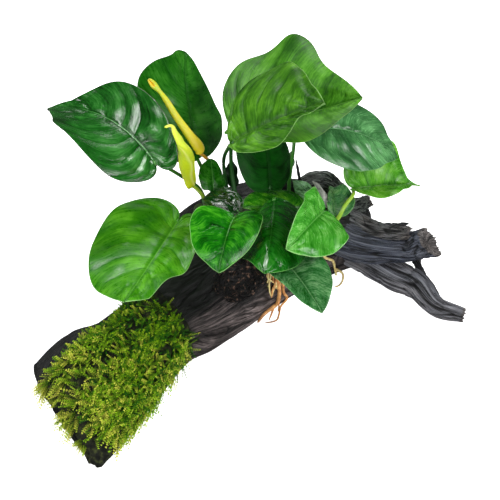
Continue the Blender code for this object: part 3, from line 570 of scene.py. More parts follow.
TRUNK_LENGTH = 190           # millimetres of grain along the trunk and around it
TRUNK_GIRTH = 150
wood = wood_finish("dark driftwood", (0.0015, 0.0015, 0.0015), (0.0075, 0.0085, 0.0075),
                   (0.014, 0.015, 0.014), (0.100, 0.078, 0.075))
across_front = ease(trunk_turn, 0.36, 0.41) * (1 - ease(trunk_turn, 0.60, 0.68))
along_front = ease(trunk_s, 0.30, 0.42) * (1 - 0.6 * ease(trunk_s, 0.70, 0.85))
trunk_marks = wood_marks(trunk_s * TRUNK_LENGTH, (trunk_turn + grain_drift * 0.4) * TRUNK_GIRTH, relief,
                         across_front * along_front)
settle(put_mesh("trunk", trunk_points, trunk_faces, wood, trunk_marks), "wood", "driftwood_log")
print("trunk dressed, with", len(SPLITS), "splits")

# %% [markdown]
# ## The branches
# Five broken branches leave the trunk on the right. Each is a tube carried along a path, squashed and knobbly
# like its solid, with ridges along it. A broken end is not flat: its rings run in to the middle over rough
# steps, and thin splinters stand along its rim. Three larger splinters that stand off the wood are thin tubes
# of their own.

# %% The branches' numbers
# Route and radii in millimetres; flatten squashes a branch and lumps make it uneven, as on its solid; slant
# is how far the upper front of a sawn end is cut back; ridge and jag are the heights of ridges and splinters
BRANCHES = {
    "main_stub": dict(
        route=[(48, 24, 28), (66, 10, 30), (92, 5.8, 29), (102, 7.5, 30.8), (110, 9, 32.3)],
        radii=[12, 11, 8.2, 9, 9.6], flatten=0.95, lumps=0.05, slant=6.5, ridge=0.75, jag=1.6, seed=21),
    "upper_stub": dict(
        route=[(60, 26, 34), (76, 15, 37), (88, 12, 38), (97, 11, 39)],
        radii=[9, 7.5, 5.5, 4], flatten=0.8, lumps=0.08, ridge=0.8, jag=2.4, seed=22),
    "lower_branch": dict(
        route=[(58, 26, 12), (74, 12, 14), (91, -1, 12.5), (104, -9.5, 12), (115, -22, 7.5),
               (131, -26, 4.5)],
        radii=[12, 11, 10, 9.2, 6.5, 4.5], flatten=0.85, lumps=0.07, ridge=0.9, jag=1.6, seed=23),
    "back_knob": dict(
        route=[(32, 46, 34), (38, 49, 40), (47, 49, 42), (56, 46, 38)],
        radii=[9, 9, 9, 6], flatten=0.85, lumps=0.06, ridge=0.9, jag=1.6, seed=24),
    "side_knob": dict(
        route=[(62, 34, 34), (68, 33, 40), (74, 34, 43)],
        radii=[5.5, 5, 3.5], flatten=1.0, lumps=0.08, ridge=0.6, jag=1.8, seed=25),
}
print("branches to make:", list(BRANCHES))

# %% Branch skins
BRANCH_RINGS = 110
BRANCH_SIDES = 96
BREAK_RINGS = 20
BREAK_FACES = np.array([0.0, -0.16, 0.98])    # which way the cut back side of a sawn end looks
BRANCH_LENGTH = 70           # millimetres of grain along a branch and around it
BRANCH_GIRTH = 60
BREAK_STEP = 0.8             # and from ring to ring in its broken end


def branch_surface(spec, lump_start):
    """Rings along the branch's path, then rings that shrink to the middle of the broken end. A slanted break
    moves each point back by its height over the path, more so towards the end. Long waves round the branch
    make its ridges; at the rim they are drawn out into splinters, and the middle of the break sinks.
    lump_start is where the waves of the lumps start, in radians. With the rings come the length and the
    girth of the grain, the relief, and which rings belong to the break."""
    table = np.column_stack([np.asarray(spec["route"], float), spec["radii"]])
    line = smooth_path(table, BRANCH_RINGS)
    share = np.linspace(0, 1, BRANCH_RINGS)
    angle = np.arange(BRANCH_SIDES) * TAU / BRANCH_SIDES
    ring = share[:, None] * 2 * (len(spec["route"]) - 1)
    rough = spec["lumps"] * (np.sin(3 * angle + 1.3 * ring + lump_start)
                             + 0.6 * np.sin(5 * angle - 0.9 * ring))
    body = tube(line[:, :3], line[:, 3], BRANCH_SIDES, spec["flatten"], rough)
    coarse = smooth_path(table[:, :3], 2 * (len(table) - 1) + 1)
    end_way = unit(coarse[-1] - coarse[-2])
    cut_back = spec.get("slant", 0) / table[-1, 3] * np.clip(2 * share - 1, 0, 1)
    height = np.sum((body - line[:, None, :3]) * BREAK_FACES, -1)
    body = body - end_way * (height * cut_back[:, None])[..., None]
    around = angle[None] / TAU * np.ones_like(ring)
    twisted = around + 0.12 * np.sin(3 * share)[:, None]
    long_waves = waves(share[:, None], twisted, spec["seed"], 3.0, 11)
    hair = waves(share[:, None], twisted, spec["seed"] + 50, 7, 34, 12)
    furrow = -np.maximum(0, 1 - np.abs(waves(share[:, None], twisted, spec["seed"] + 90, 2.4, 8)) * 5)
    relief = long_waves * spec["ridge"] + 0.26 * hair + 0.9 * furrow
    outward = unit(body - line[:, None, :3])
    body = body + outward * relief[..., None]
    splinters = spec["jag"] * np.abs(waves(around[-1:], around[-1:], spec["seed"] + 3, 0, 24, 14))
    body = body + end_way * (splinters * ease(share, 0.955, 1.0)[:, None])[..., None]
    shrink = np.linspace(1, 0.04, BREAK_RINGS + 1)[1:, None]
    steps = waves(shrink * 5, around[-1:], spec["seed"] + 7, 2, 31, 16) * np.sqrt(shrink)
    sink = splinters * ease(shrink, 0.80, 1.0) - 1.2 * ease(1 - shrink, 0.06, 0.4)
    middle = line[-1, :3]
    flat_end = tube(line[-2:, :3], line[-2:, 3], BRANCH_SIDES, spec["flatten"], rough[-2:])[-1] - middle
    flat_end = flat_end - end_way * (np.sum(flat_end * BREAK_FACES, -1) * cut_back[-1])[:, None]
    flat_end = flat_end + outward[-1] * relief[-1][:, None]
    ends = middle + flat_end * shrink[..., None] + end_way * (steps + sink)[..., None]
    rings = np.concatenate([body, ends])
    rings[..., 2] = np.maximum(rings[..., 2], 0.0)
    length = np.concatenate([share * BRANCH_LENGTH, BRANCH_LENGTH + np.arange(BREAK_RINGS) * BREAK_STEP])
    length = length[:, None] * np.ones(BRANCH_SIDES)
    around = np.concatenate([around, np.repeat(around[-1:], BREAK_RINGS, 0)]) * BRANCH_GIRTH
    relief = np.concatenate([relief, steps * 0.9])
    broken = np.concatenate([ease(share, 0.97, 1.0), np.ones(BREAK_RINGS)]) > 0.5
    return rings, length, around, relief, broken


print("rings and sides of a branch:", BRANCH_RINGS + BREAK_RINGS, BRANCH_SIDES)

# %% Branch materials
BRANCH_LOOKS = {
    "main_stub": wood_finish("bluish wood", (0.006, 0.009, 0.018), (0.020, 0.028, 0.050),
                             (0.125, 0.135, 0.165), (0.075, 0.080, 0.100), 0.45),
    "lower_branch": wood_finish("grey wood", (0.024, 0.026, 0.032), (0.095, 0.100, 0.120),
                                (0.230, 0.240, 0.270), (0.150, 0.140, 0.145), 0.50),
    "upper_stub": wood_finish("frayed wood", (0.015, 0.016, 0.018), (0.065, 0.070, 0.077),
                              (0.170, 0.175, 0.185), (0.110, 0.095, 0.085), 0.55),
    "back_knob": wood_finish("knob wood", (0.010, 0.014, 0.012), (0.044, 0.055, 0.050), (0.240, 0.270, 0.240),
                             (0.055, 0.058, 0.052), 0.50),
}
broken_wood = wood_finish("broken wood", (0.020, 0.018, 0.018), (0.085, 0.078, 0.076), (0.190, 0.175, 0.170),
                          (0.140, 0.120, 0.112), 0.62)
BRANCH_LOOKS["side_knob"] = BRANCH_LOOKS["back_knob"]
print("branch materials:", len(set(BRANCH_LOOKS.values())) + 1)

# %% Branches with their broken ends
for branch_name, spec in BRANCHES.items():
    node = "driftwood_" + branch_name
    # The solid's lumps start at the number of letters in its name
    rings, length, around, relief, broken = branch_surface(spec, len(node))
    points, faces = skin(rings)
    brown_waves = waves(length / BRANCH_LENGTH, around / BRANCH_GIRTH, spec["seed"] + 3, 2, 3)
    brown = np.clip(0.5 + 0.5 * brown_waves, 0, 1)
    branch = put_mesh("branch_" + branch_name, points, faces, BRANCH_LOOKS[branch_name],
                      wood_marks(length, around, relief, brown))
    branch.data.materials.append(broken_wood)
    # One material number for each face: the rings' quads, then the fans at the foot and at the broken end
    shows_break = np.concatenate([np.repeat(broken[1:], BRANCH_SIDES), np.zeros(BRANCH_SIDES, bool),
                                  np.ones(BRANCH_SIDES, bool)])
    branch.data.polygons.foreach_set("material_index", shows_break.astype(np.int32))
    settle(branch, "wood", node)
print("branches:", len(BRANCHES))

# %% Loose splinters
splinter_wood = wood_finish("splinter wood", (0.003, 0.003, 0.004), (0.012, 0.012, 0.014),
                            (0.060, 0.060, 0.064), (0.020, 0.016, 0.014), 0.45)
SPLINTERS = {
    "hook": ([(101, 9, 22), (103.5, 9.5, 15), (105.9, 4.4, 14), (108.7, -1.2, 12), (108.5, -7, 9.5)],
             [2.2, 2.6, 2.3, 1.9, 0.6]),
    "twig": ([(33, 47, 38), (31.5, 48.2, 46), (30, 49.2, 54), (28.7, 53, 60)], [1.3, 1.1, 0.9, 0.4]),
    "chip": ([(86, 13, 40), (92, 15, 42), (97.5, 15, 43)], [1.8, 1.5, 0.5]),
}
SPLINTER_RINGS = 40
SPLINTER_SIDES = 16
SPLINTER_LENGTH = 20         # millimetres of grain along a splinter and around it
SPLINTER_GIRTH = 12
SPLINTER_SEED = 200
for number, (splinter_name, (route, radii)) in enumerate(SPLINTERS.items()):
    line = smooth_path(np.column_stack([np.asarray(route, float), radii]), SPLINTER_RINGS)
    share = np.linspace(0, 1, SPLINTER_RINGS)[:, None]
    turns = np.arange(SPLINTER_SIDES)[None] / SPLINTER_SIDES
    rough = 0.42 * waves(share, turns, SPLINTER_SEED + number, 6, 5)
    points, faces = skin(tube(line[:, :3], line[:, 3], SPLINTER_SIDES, 0.7, rough))
    length = share * SPLINTER_LENGTH * np.ones_like(turns)
    around = turns * SPLINTER_GIRTH * np.ones_like(share)
    no_brown = np.zeros_like(length)
    splinter = put_mesh("splinter_" + splinter_name, points, faces, splinter_wood,
                        wood_marks(length, around, rough, no_brown))
    settle(splinter, "wood")
print("splinters:", len(SPLINTERS))

# %% [markdown]
# ## The leaves
# An anubias leaf is thick and glossy, heart-shaped, with a sunken midrib and side veins that leave it in
# curves. Each blade could be modelled by hand, but twenty of them would be slow to change. Here a blade is a
# formula: a half outline from two Bezier curves, lines from the midrib to that outline, and then folding,
# curling, waving and drooping. Each blade has the numbers of its solid, so that both have the same form.

# %% Half a heart
OUTLINE_STEPS = np.linspace(0, 1, 201)
EDGE_PLACES = (0.22, 0.42, 0.60, 0.76, 0.90)    # where the outline is pushed outwards or inwards
EDGE_REACH = 0.085                              # how far along it each of them is felt
TIP_FROM = 0.86                                 # from here the outline runs almost straight to the tip
TIP_BOW = 0.04


def half_outline(q, leaf, half):
    """Half a heart: one cubic Bezier curve from the notch round the basal lobe to the widest place (q = 0.5)
    and one from there to the tip. Bell curves at five places then push the outline outwards, and the
    last piece is a line to the tip, bowed outwards on blunt leaves and inwards on a drawn-out one."""
    length, width = leaf["length"], leaf["widths"][half]
    widest, tail = 0.36 * length, leaf.get("lobe", 0.12) * length
    point, shoulder = leaf["point"][half], leaf.get("shoulder", (0.30, 0.30))[half]
    basal = np.array([(0, 0), (-1.55 * tail, 0.02 * width), (-1.25 * tail, width), (widest, width)])
    outer = np.array([(widest, width), (widest + shoulder * length, width),
                      ((0.86 - 0.10 * point) * length, (0.30 - 0.22 * point) * width), (length, 0)])

    def cubic(p, t):
        """A Bezier curve through its first and last point, pulled towards the two between."""
        t = t[:, None]
        return (1 - t)**3 * p[0] + 3 * (1 - t)**2 * t * p[1] + 3 * (1 - t) * t**2 * p[2] + t**3 * p[3]

    outline = np.where((OUTLINE_STEPS < 0.5)[:, None], cubic(basal, np.clip(2 * OUTLINE_STEPS, 0, 1)),
                       cubic(outer, np.clip(2 * OUTLINE_STEPS - 1, 0, 1)))
    ahead = unit(np.gradient(outline, axis=0))
    outwards = np.column_stack([-ahead[:, 1], ahead[:, 0]])
    for amount, at in zip(leaf.get("edge", ((0,) * 5, (0,) * 5))[half], EDGE_PLACES):
        outline = outline + outwards * (amount * np.exp(-((OUTLINE_STEPS - at) / EDGE_REACH) ** 2))[:, None]
    turning = outline[np.searchsorted(OUTLINE_STEPS, TIP_FROM)]
    way = np.clip((OUTLINE_STEPS - TIP_FROM) / (1 - TIP_FROM), 0, 1)[:, None]
    to_tip = np.array([length, 0.0]) - turning
    bow = np.array([-to_tip[1], to_tip[0]]) * np.sin(math.pi * way) * leaf.get("bow", TIP_BOW)
    outline = np.where(way > 0, turning + to_tip * way + bow, outline)
    return np.stack([np.interp(q, OUTLINE_STEPS, outline[:, k]) for k in (0, 1)], -1)


print("outline steps:", len(OUTLINE_STEPS))


# %% The blade in space
def blade_frame(leaf, u):
    """The midrib is an arc that droops and turns evenly: its place at u, and the directions along it,
    across it and out of the blade. Roll tips these about the midrib and twist adds to it."""
    heading, pitch = math.radians(leaf["heading"]), math.radians(leaf["pitch"])
    droop, swing = math.radians(leaf["droop"]), math.radians(leaf.get("turn", 0))
    h, p = heading + swing * u, pitch - droop * u
    h2, p2 = heading + swing * u / 2, pitch - droop * u / 2
    chord = np.stack([np.cos(p2) * np.cos(h2), np.cos(p2) * np.sin(h2), np.sin(p2)], -1)
    along = np.stack([np.cos(p) * np.cos(h), np.cos(p) * np.sin(h), np.sin(p)], -1)
    level = np.stack([-np.sin(h), np.cos(h), 0 * h], -1)
    out = np.cross(along, level)
    roll = np.radians(leaf["roll"] + leaf.get("twist", 0) * u)[..., None]
    across = level * np.cos(roll) + out * np.sin(roll)
    normal = out * np.cos(roll) - level * np.sin(roll)
    place = np.array(leaf["base"], float) + (u * leaf["length"])[..., None] * chord
    return place, along, across, normal


def half_blade(leaf, half, q, t):
    """Points of one half blade (0 left, 1 right) for q along the outline and t from the midrib out: curves
    from the midrib to the rim, folded up, curled in, and rippled by a sine along the midrib that grows with
    the square of the distance from it. With them come the direction out of the blade, the flat distance
    from midrib to rim, and how far along the midrib each point lies."""
    width, length = leaf["widths"][half], leaf["length"]
    rim = half_outline(q, leaf, half)
    rib = np.stack([length * q**2.4, 0 * q], -1)
    bow = (rib + rim) / 2 + np.stack([-0.10 * (rim - rib)[:, 1], 0 * q], -1)
    t = t[:, None, None]
    flat = (1 - t)**2 * rib + 2 * (1 - t) * t * bow + t**2 * rim
    x, y = flat[..., 0], flat[..., 1]
    u = np.clip(x / length, 0, 1.05)
    place, along, across, normal = blade_frame(leaf, u)
    place = place + np.minimum(x, 0)[..., None] * along
    rise = np.radians(leaf["fold"][half] - leaf["cup"][half] * (y / width) / 2)
    height, count, start = leaf.get("wave", (0.0, 1.5, 0))
    ripple = height * (y / width)**2 * np.sin(TAU * count * u + math.radians(start) + 1.3 * half)
    side = 1 - 2 * half
    points = (place + side * across * (y * np.cos(rise))[..., None]
              + normal * (y * np.sin(rise) + ripple)[..., None])
    reach = np.linalg.norm(rim - rib, axis=-1)[None] * np.ones_like(x)
    return points, normal, reach, u


level_leaf = dict(base=(0, 0, 0), length=50, heading=90, pitch=0, droop=30, roll=0)
level_end = blade_frame(level_leaf, np.array([1.0]))[0][0]
print("a level midrib of 50 millimetres that droops by 30 degrees ends at", level_end.round(1).tolist())

# %% The leaves' numbers, in millimetres and degrees
# base, heading, pitch and roll set a blade, droop, turn and twist bend it, widths, lobe, point, shoulder,
# edge and bow shape its outline, and fold, cup and wave curl it; a pair is for the left and the right half
LEAVES = {
    "far_left": dict(
        base=(-55, 14, 98), heading=124, pitch=15, roll=-3, length=96, widths=(42, 25), droop=50,
        turn=30, twist=25, fold=(10, 40), cup=(-20, -20), wave=(-1.5, 1.4, 105), lobe=0.12, point=(0.7, 1.2),
        shoulder=(0.14, 0.30), edge=((-1, -1.5, 4, 4.5, 3), (1.5, 0, 1, -1, -0.5))),
    "back_left": dict(
        base=(-30, 44, 74), heading=112, pitch=44, roll=36, length=69, widths=(39, 35), droop=40,
        turn=-25, twist=5, fold=(5, -5), cup=(20, 20), wave=(-1.0, 1.6, 15), lobe=0.06, point=(1.1, -0.1),
        shoulder=(0.46, 0.35), edge=((0, -0.5, 0.5, 1.5, 4), (-1, 1.5, 2, -0.5, 2)), bow=0.12),
    "back_right": dict(
        base=(-10, 35, 105), heading=5, pitch=8, roll=-25, length=78, widths=(60, 53), droop=-20,
        turn=-10, twist=25, fold=(45, 10), cup=(45, -5), wave=(3.0, 2.1, 45), lobe=0.06, point=(0.8, -0.6),
        shoulder=(0.48, 0.12), edge=((1, -2.5, -1.5, -4, 2.5), (1.5, 0, 1.5, -1, -2.5))),
    "top": dict(
        base=(-10, -1, 129), heading=-3, pitch=41, roll=5, length=64, widths=(45, 12), droop=5,
        turn=-20, twist=15, fold=(10, 5), cup=(35, 45), wave=(3.0, 1.0, 45), lobe=0.06, point=(0.3, 0.9),
        shoulder=(0.22, 0.39), edge=((-1.5, -1, 1.5, 1, 0.5), (-2, 0.5, 0.5, -2, 3))),
    "right": dict(
        base=(31, 31, 108), heading=16, pitch=-6, roll=9, length=74, widths=(28, 29), droop=55,
        twist=10, fold=(10, 10), cup=(35, 20), wave=(1.5, 1.3, 75), lobe=0.06, point=(1.2, 0),
        shoulder=(0.41, 0.33), edge=((0, 0, 0, 5, 2.5), (-0.5, -0.5, -0.5, -1.5, 0.5))),
    "far_right": dict(
        base=(64, 26, 63), heading=21, pitch=-11, roll=2, length=48, widths=(27, 19), droop=15,
        twist=-5, fold=(45, 45), cup=(0, 40), wave=(2.5, 1.6, 105), lobe=0.16, point=(1.2, 1.1),
        shoulder=(0.36, 0.24), edge=((0.5, 0, 1.5, -1, -2), (-2.5, -0.5, -1.5, 0, 0)), bow=-0.06),
    "middle_dark": dict(
        base=(12, 20, 70), heading=95, pitch=48, roll=29, length=54, widths=(23, 22), droop=40,
        fold=(10, -5), cup=(15, 30), lobe=0.06, point=(0.6, 0.6),
        shoulder=(0.30, 0.24), edge=((0, -0.5, 0.5, 0, 0), (0, 1, 2, 0, 0))),
    "small_left": dict(
        base=(-22, 22, 66), heading=96, pitch=40, roll=19, length=20, widths=(10, 9), droop=30,
        fold=(10, 5), cup=(25, 40), wave=(1.5, 1.3, -45), lobe=0.10, point=(-0.3, -0.1),
        edge=((-1.5, -1, -1, 0, 0), (0, 0, 0, 0, 1.5))),
    "front_heart": dict(
        base=(-9, -17, 85), heading=-107, pitch=15, roll=10, length=35, widths=(21, 23), droop=65,
        turn=5, twist=5, fold=(20, 15), cup=(15, -15), wave=(1.5, 1.3, -30), point=(-0.2, -0.5),
        edge=((1, 0.5, -0.5, 0, 0), (0, -0.5, -1, 0, -0.5))),
    "front_left": dict(
        base=(-42, -5, 69), heading=-113, pitch=4, roll=-15, length=82, widths=(20, 40), droop=-20,
        turn=10, twist=25, fold=(-10, -5), cup=(-20, 15), wave=(3.0, 2.1, -60), lobe=0.14, point=(-1.2, -0.6),
        shoulder=(0.05, 0.26), edge=((0.5, 0, 0.5, -0.5, 2.5), (1, 1, -0.5, 0.5, -0.5))),
    "front_middle": dict(
        base=(14, 2, 80), heading=-91, pitch=23, roll=9, length=64, widths=(30, 29), droop=30,
        turn=-10, twist=-10, fold=(-25, -25), cup=(45, 45), wave=(-2.0, 1.5, 15), lobe=0.06,
        point=(-0.7, 0), shoulder=(0.22, 0.27), edge=((1, 0, -0.5, 0, 0), (0, 0, 0, 0, 0))),
    "front_right": dict(
        base=(20, -33, 65), heading=-64, pitch=20, roll=-11, length=45, widths=(20, 21), droop=30,
        fold=(15, 20), cup=(10, -10), wave=(1.5, 1.7, -30), point=(-0.3, -0.6),
        shoulder=(0.25, 0.30), edge=((0, -1, -0.5, 0, 0.5), (0, 0, -0.5, 0, -1))),
    "light": dict(
        base=(43, -5, 77), heading=-111, pitch=33, roll=-33, length=51, widths=(22, 18), droop=30,
        turn=-15, twist=-15, fold=(5, 15), cup=(-5, -20), wave=(2.5, 1.8, 0), point=(0.3, -0.3),
        shoulder=(0.40, 0.27), edge=((-0.5, 0, -0.5, 1, 2), (1, -0.5, -1.5, -0.5, 1))),
    "wrinkled": dict(
        base=(-7, -3, 75), heading=135, pitch=8, roll=0, length=34, widths=(10, 9), droop=65,
        turn=-5, twist=-10, fold=(20, 20), cup=(10, 25), wave=(1.0, 1.7, 15), lobe=0.06, point=(0.2, -0.7),
        shoulder=(0.30, 0.09), edge=((0, -2, -0.5, 0, -2.5), (-1, 0, 1, -0.5, 0.5))),
    "under_middle": dict(
        base=(29, 12, 60), heading=190, pitch=17, roll=-10, length=37, widths=(7, 16), droop=-5,
        turn=15, twist=5, fold=(10, 5), cup=(25, 30), wave=(0.5, 1.6, 15), point=(-0.5, -0.7),
        shoulder=(0.36, 0.30), edge=((0, 0, 0, 0.5, -1.5), (1, 0.5, 0, 0, 0.5))),
    "small_grey": dict(
        base=(41, 19, 56), heading=121, pitch=16, roll=5, length=29, widths=(7, 6), droop=50,
        fold=(10, 10), cup=(20, 30), wave=(1.5, 1.5, -15), point=(0.4, 0.2)),
    "bud": dict(
        base=(44, 16, 59), heading=109, pitch=29, roll=37, length=17, widths=(3, 13), droop=25,
        turn=5, twist=-10, fold=(15, 0), cup=(10, 50), wave=(-1.0, 1.9, 180), point=(0.5, -0.1),
        edge=((0, 0, -1.5, -0.5, -2), (0, -0.5, 0.5, 0, 1))),
    "small_right": dict(
        base=(51, 10, 59), heading=94, pitch=19, roll=-1, length=23, widths=(4, 13), droop=45,
        turn=5, twist=-10, fold=(5, 20), cup=(30, 5), wave=(2.5, 1.7, -45), lobe=0.16, point=(0.8, 0.8),
        edge=((0, 0.5, -0.5, -0.5, -0.5), (0.5, 0.5, -0.5, 1, -1.5))),
    "hidden_right": dict(
        base=(21, 41, 54), heading=75, pitch=23, roll=-22, length=23, widths=(4, 5), droop=30,
        turn=5, twist=-5, fold=(5, 15), cup=(25, 20), wave=(1.5, 1.4, -120), point=(0.2, 0.2)),
    "hidden_left": dict(
        base=(-10, 35, 57), heading=97, pitch=37, roll=17, length=17, widths=(5, 4), droop=35,
        turn=-5, fold=(10, 5), cup=(20, 35), wave=(2.0, 1.5, 0), point=(0.2, 0.2)),
}
print("leaves:", len(LEAVES))

# %% [markdown]
# Each leaf of this plant has its own age and so its own look: some are dark and flat, some light and silvery.
# The table gives three greens from its shade to its light, how many side veins each half has, how many
# millimetres the skin swells between them, how uneven and how crinkled it is, how clearly the pale rib shows
# (partly a painted highlight), how rough and how glossy it is, and the colour of its rim, a line that is
# partly a painted sheen. The greens of middle_dark and hidden_left, which sit under other leaves, are
# darkened further as painted shade.

# %% How each leaf looks
LOOKS = {
    "far_left": dict(
        greens=((0.0009, 0.028, 0.0009), (0.0080, 0.096, 0.0072), (0.045, 0.220, 0.035)),
        veins=10, depth=1.60, uneven=0.50, midrib=0.85, rough=0.13, gloss=0.55, rim=(0.10, 0.09, 0.08)),
    "back_left": dict(
        greens=((0.0009, 0.049, 0.0003), (0.0084, 0.098, 0.0016), (0.032, 0.180, 0.011)),
        veins=8, depth=0.60, uneven=0.50, rough=0.30, gloss=0.25, rim=(0.06, 0.07, 0.05)),
    "back_right": dict(
        greens=((0.010, 0.073, 0.0015), (0.045, 0.194, 0.0060), (0.116, 0.352, 0.028)),
        veins=11, depth=0.80, uneven=0.50, midrib=0.40, rough=0.42, gloss=0.18, rim=(0.16, 0.28, 0.08)),
    "top": dict(
        greens=((0.0070, 0.052, 0.0015), (0.035, 0.148, 0.0035), (0.105, 0.315, 0.013)),
        veins=9, depth=1.00, uneven=1.10, rough=0.36, gloss=0.20, rim=(0.22, 0.42, 0.12)),
    "right": dict(
        greens=((0.016, 0.081, 0.020), (0.042, 0.160, 0.045), (0.120, 0.341, 0.115)),
        veins=10, depth=1.70, uneven=0.80, midrib=0.45, rough=0.20, gloss=0.45, rim=(0.12, 0.30, 0.09)),
    "far_right": dict(
        greens=((0.010, 0.104, 0.0015), (0.062, 0.275, 0.0084), (0.174, 0.437, 0.048)),
        veins=9, depth=0.50, uneven=0.40, midrib=0.40, rough=0.25, gloss=0.35, rim=(0.22, 0.45, 0.10)),
    # painted shade: this leaf's greens are its own dark green, darkened further for the shade under the top
    # leaf
    "middle_dark": dict(
        greens=((0.0003, 0.014, 0.0003), (0.0012, 0.045, 0.0012), (0.0036, 0.072, 0.0024)),
        veins=8, depth=0.35, uneven=0.30, rough=0.40, gloss=0.12, rim=(0.03, 0.10, 0.02)),
    "small_left": dict(
        greens=((0.0010, 0.040, 0.0005), (0.0072, 0.094, 0.0015), (0.036, 0.182, 0.012)),
        veins=5, depth=0.45, uneven=0.40, midrib=0.60, rough=0.26, gloss=0.30, rim=(0.08, 0.22, 0.05)),
    "front_heart": dict(
        greens=((0.000, 0.025, 0.000), (0.004, 0.126, 0.001), (0.055, 0.330, 0.011)),
        veins=7, depth=0.35, uneven=0.20, rough=0.17, gloss=0.38, rim=(0.25, 0.52, 0.16)),
    "front_left": dict(
        greens=((0.0070, 0.100, 0.0010), (0.032, 0.189, 0.0020), (0.100, 0.357, 0.014)),
        veins=9, depth=0.90, uneven=0.60, midrib=0.40, rough=0.30, gloss=0.28, rim=(0.30, 0.55, 0.18)),
    "front_middle": dict(
        greens=((0.0002, 0.038, 0.0003), (0.0042, 0.117, 0.0032), (0.029, 0.192, 0.017)),
        veins=8, depth=0.55, uneven=0.80, rough=0.13, gloss=0.75, rim=(0.16, 0.42, 0.10)),
    "front_right": dict(
        greens=((0.0020, 0.072, 0.0030), (0.036, 0.160, 0.041), (0.189, 0.416, 0.162)),
        veins=7, depth=0.45, uneven=0.40, midrib=0.50, rough=0.25, gloss=0.32, rim=(0.12, 0.34, 0.10)),
    "light": dict(
        greens=((0.011, 0.158, 0.0025), (0.053, 0.304, 0.022), (0.224, 0.552, 0.128)),
        veins=8, depth=0.55, uneven=0.60, rough=0.20, gloss=0.40, rim=(0.34, 0.66, 0.22)),
    "wrinkled": dict(
        greens=((0.000, 0.006, 0.000), (0.001, 0.018, 0.001), (0.006, 0.051, 0.005)),
        veins=6, depth=1.00, uneven=0.80, crinkle=1.3, rough=0.12, gloss=0.60, rim=(0.05, 0.16, 0.04)),
    "under_middle": dict(
        greens=((0.0008, 0.043, 0.0004), (0.013, 0.143, 0.0024), (0.105, 0.344, 0.014)),
        veins=6, depth=0.50, uneven=0.30, rough=0.22, gloss=0.30, rim=(0.10, 0.24, 0.03)),
    "small_grey": dict(
        greens=((0.006, 0.082, 0.006), (0.245, 0.558, 0.234), (0.449, 0.593, 0.528)),
        veins=6, depth=0.60, uneven=0.30, midrib=0.30, rough=0.28, gloss=0.35, rim=(0.14, 0.26, 0.11)),
    "bud": dict(
        greens=((0.065, 0.084, 0.058), (0.304, 0.320, 0.280), (0.627, 0.594, 0.570)),
        veins=5, depth=0.40, uneven=0.30, rough=0.45, gloss=0.30, rim=(0.36, 0.36, 0.32)),
    "small_right": dict(
        greens=((0.0016, 0.042, 0.0016), (0.040, 0.155, 0.046), (0.138, 0.297, 0.087)),
        veins=6, depth=0.70, uneven=0.40, rough=0.25, gloss=0.35, rim=(0.14, 0.32, 0.08)),
    "hidden_right": dict(
        greens=((0.003, 0.035, 0.002), (0.020, 0.080, 0.014), (0.050, 0.140, 0.030)),
        veins=5, depth=0.40, uneven=0.30, rough=0.45, gloss=0.25, rim=(0.06, 0.14, 0.04)),
    # painted shade: this leaf's greens are near-black, its own dark green darkened for the shade it sits in
    # under the other leaves
    "hidden_left": dict(
        greens=((0.0002, 0.0042, 0.0002), (0.0010, 0.012, 0.0010), (0.0030, 0.029, 0.0025)),
        veins=5, depth=0.40, uneven=0.30, rough=0.50, gloss=0.12, rim=(0.01, 0.04, 0.01)),
}
print("glossiest leaf:", max(LOOKS, key=lambda leaf_name: LOOKS[leaf_name]["gloss"]))


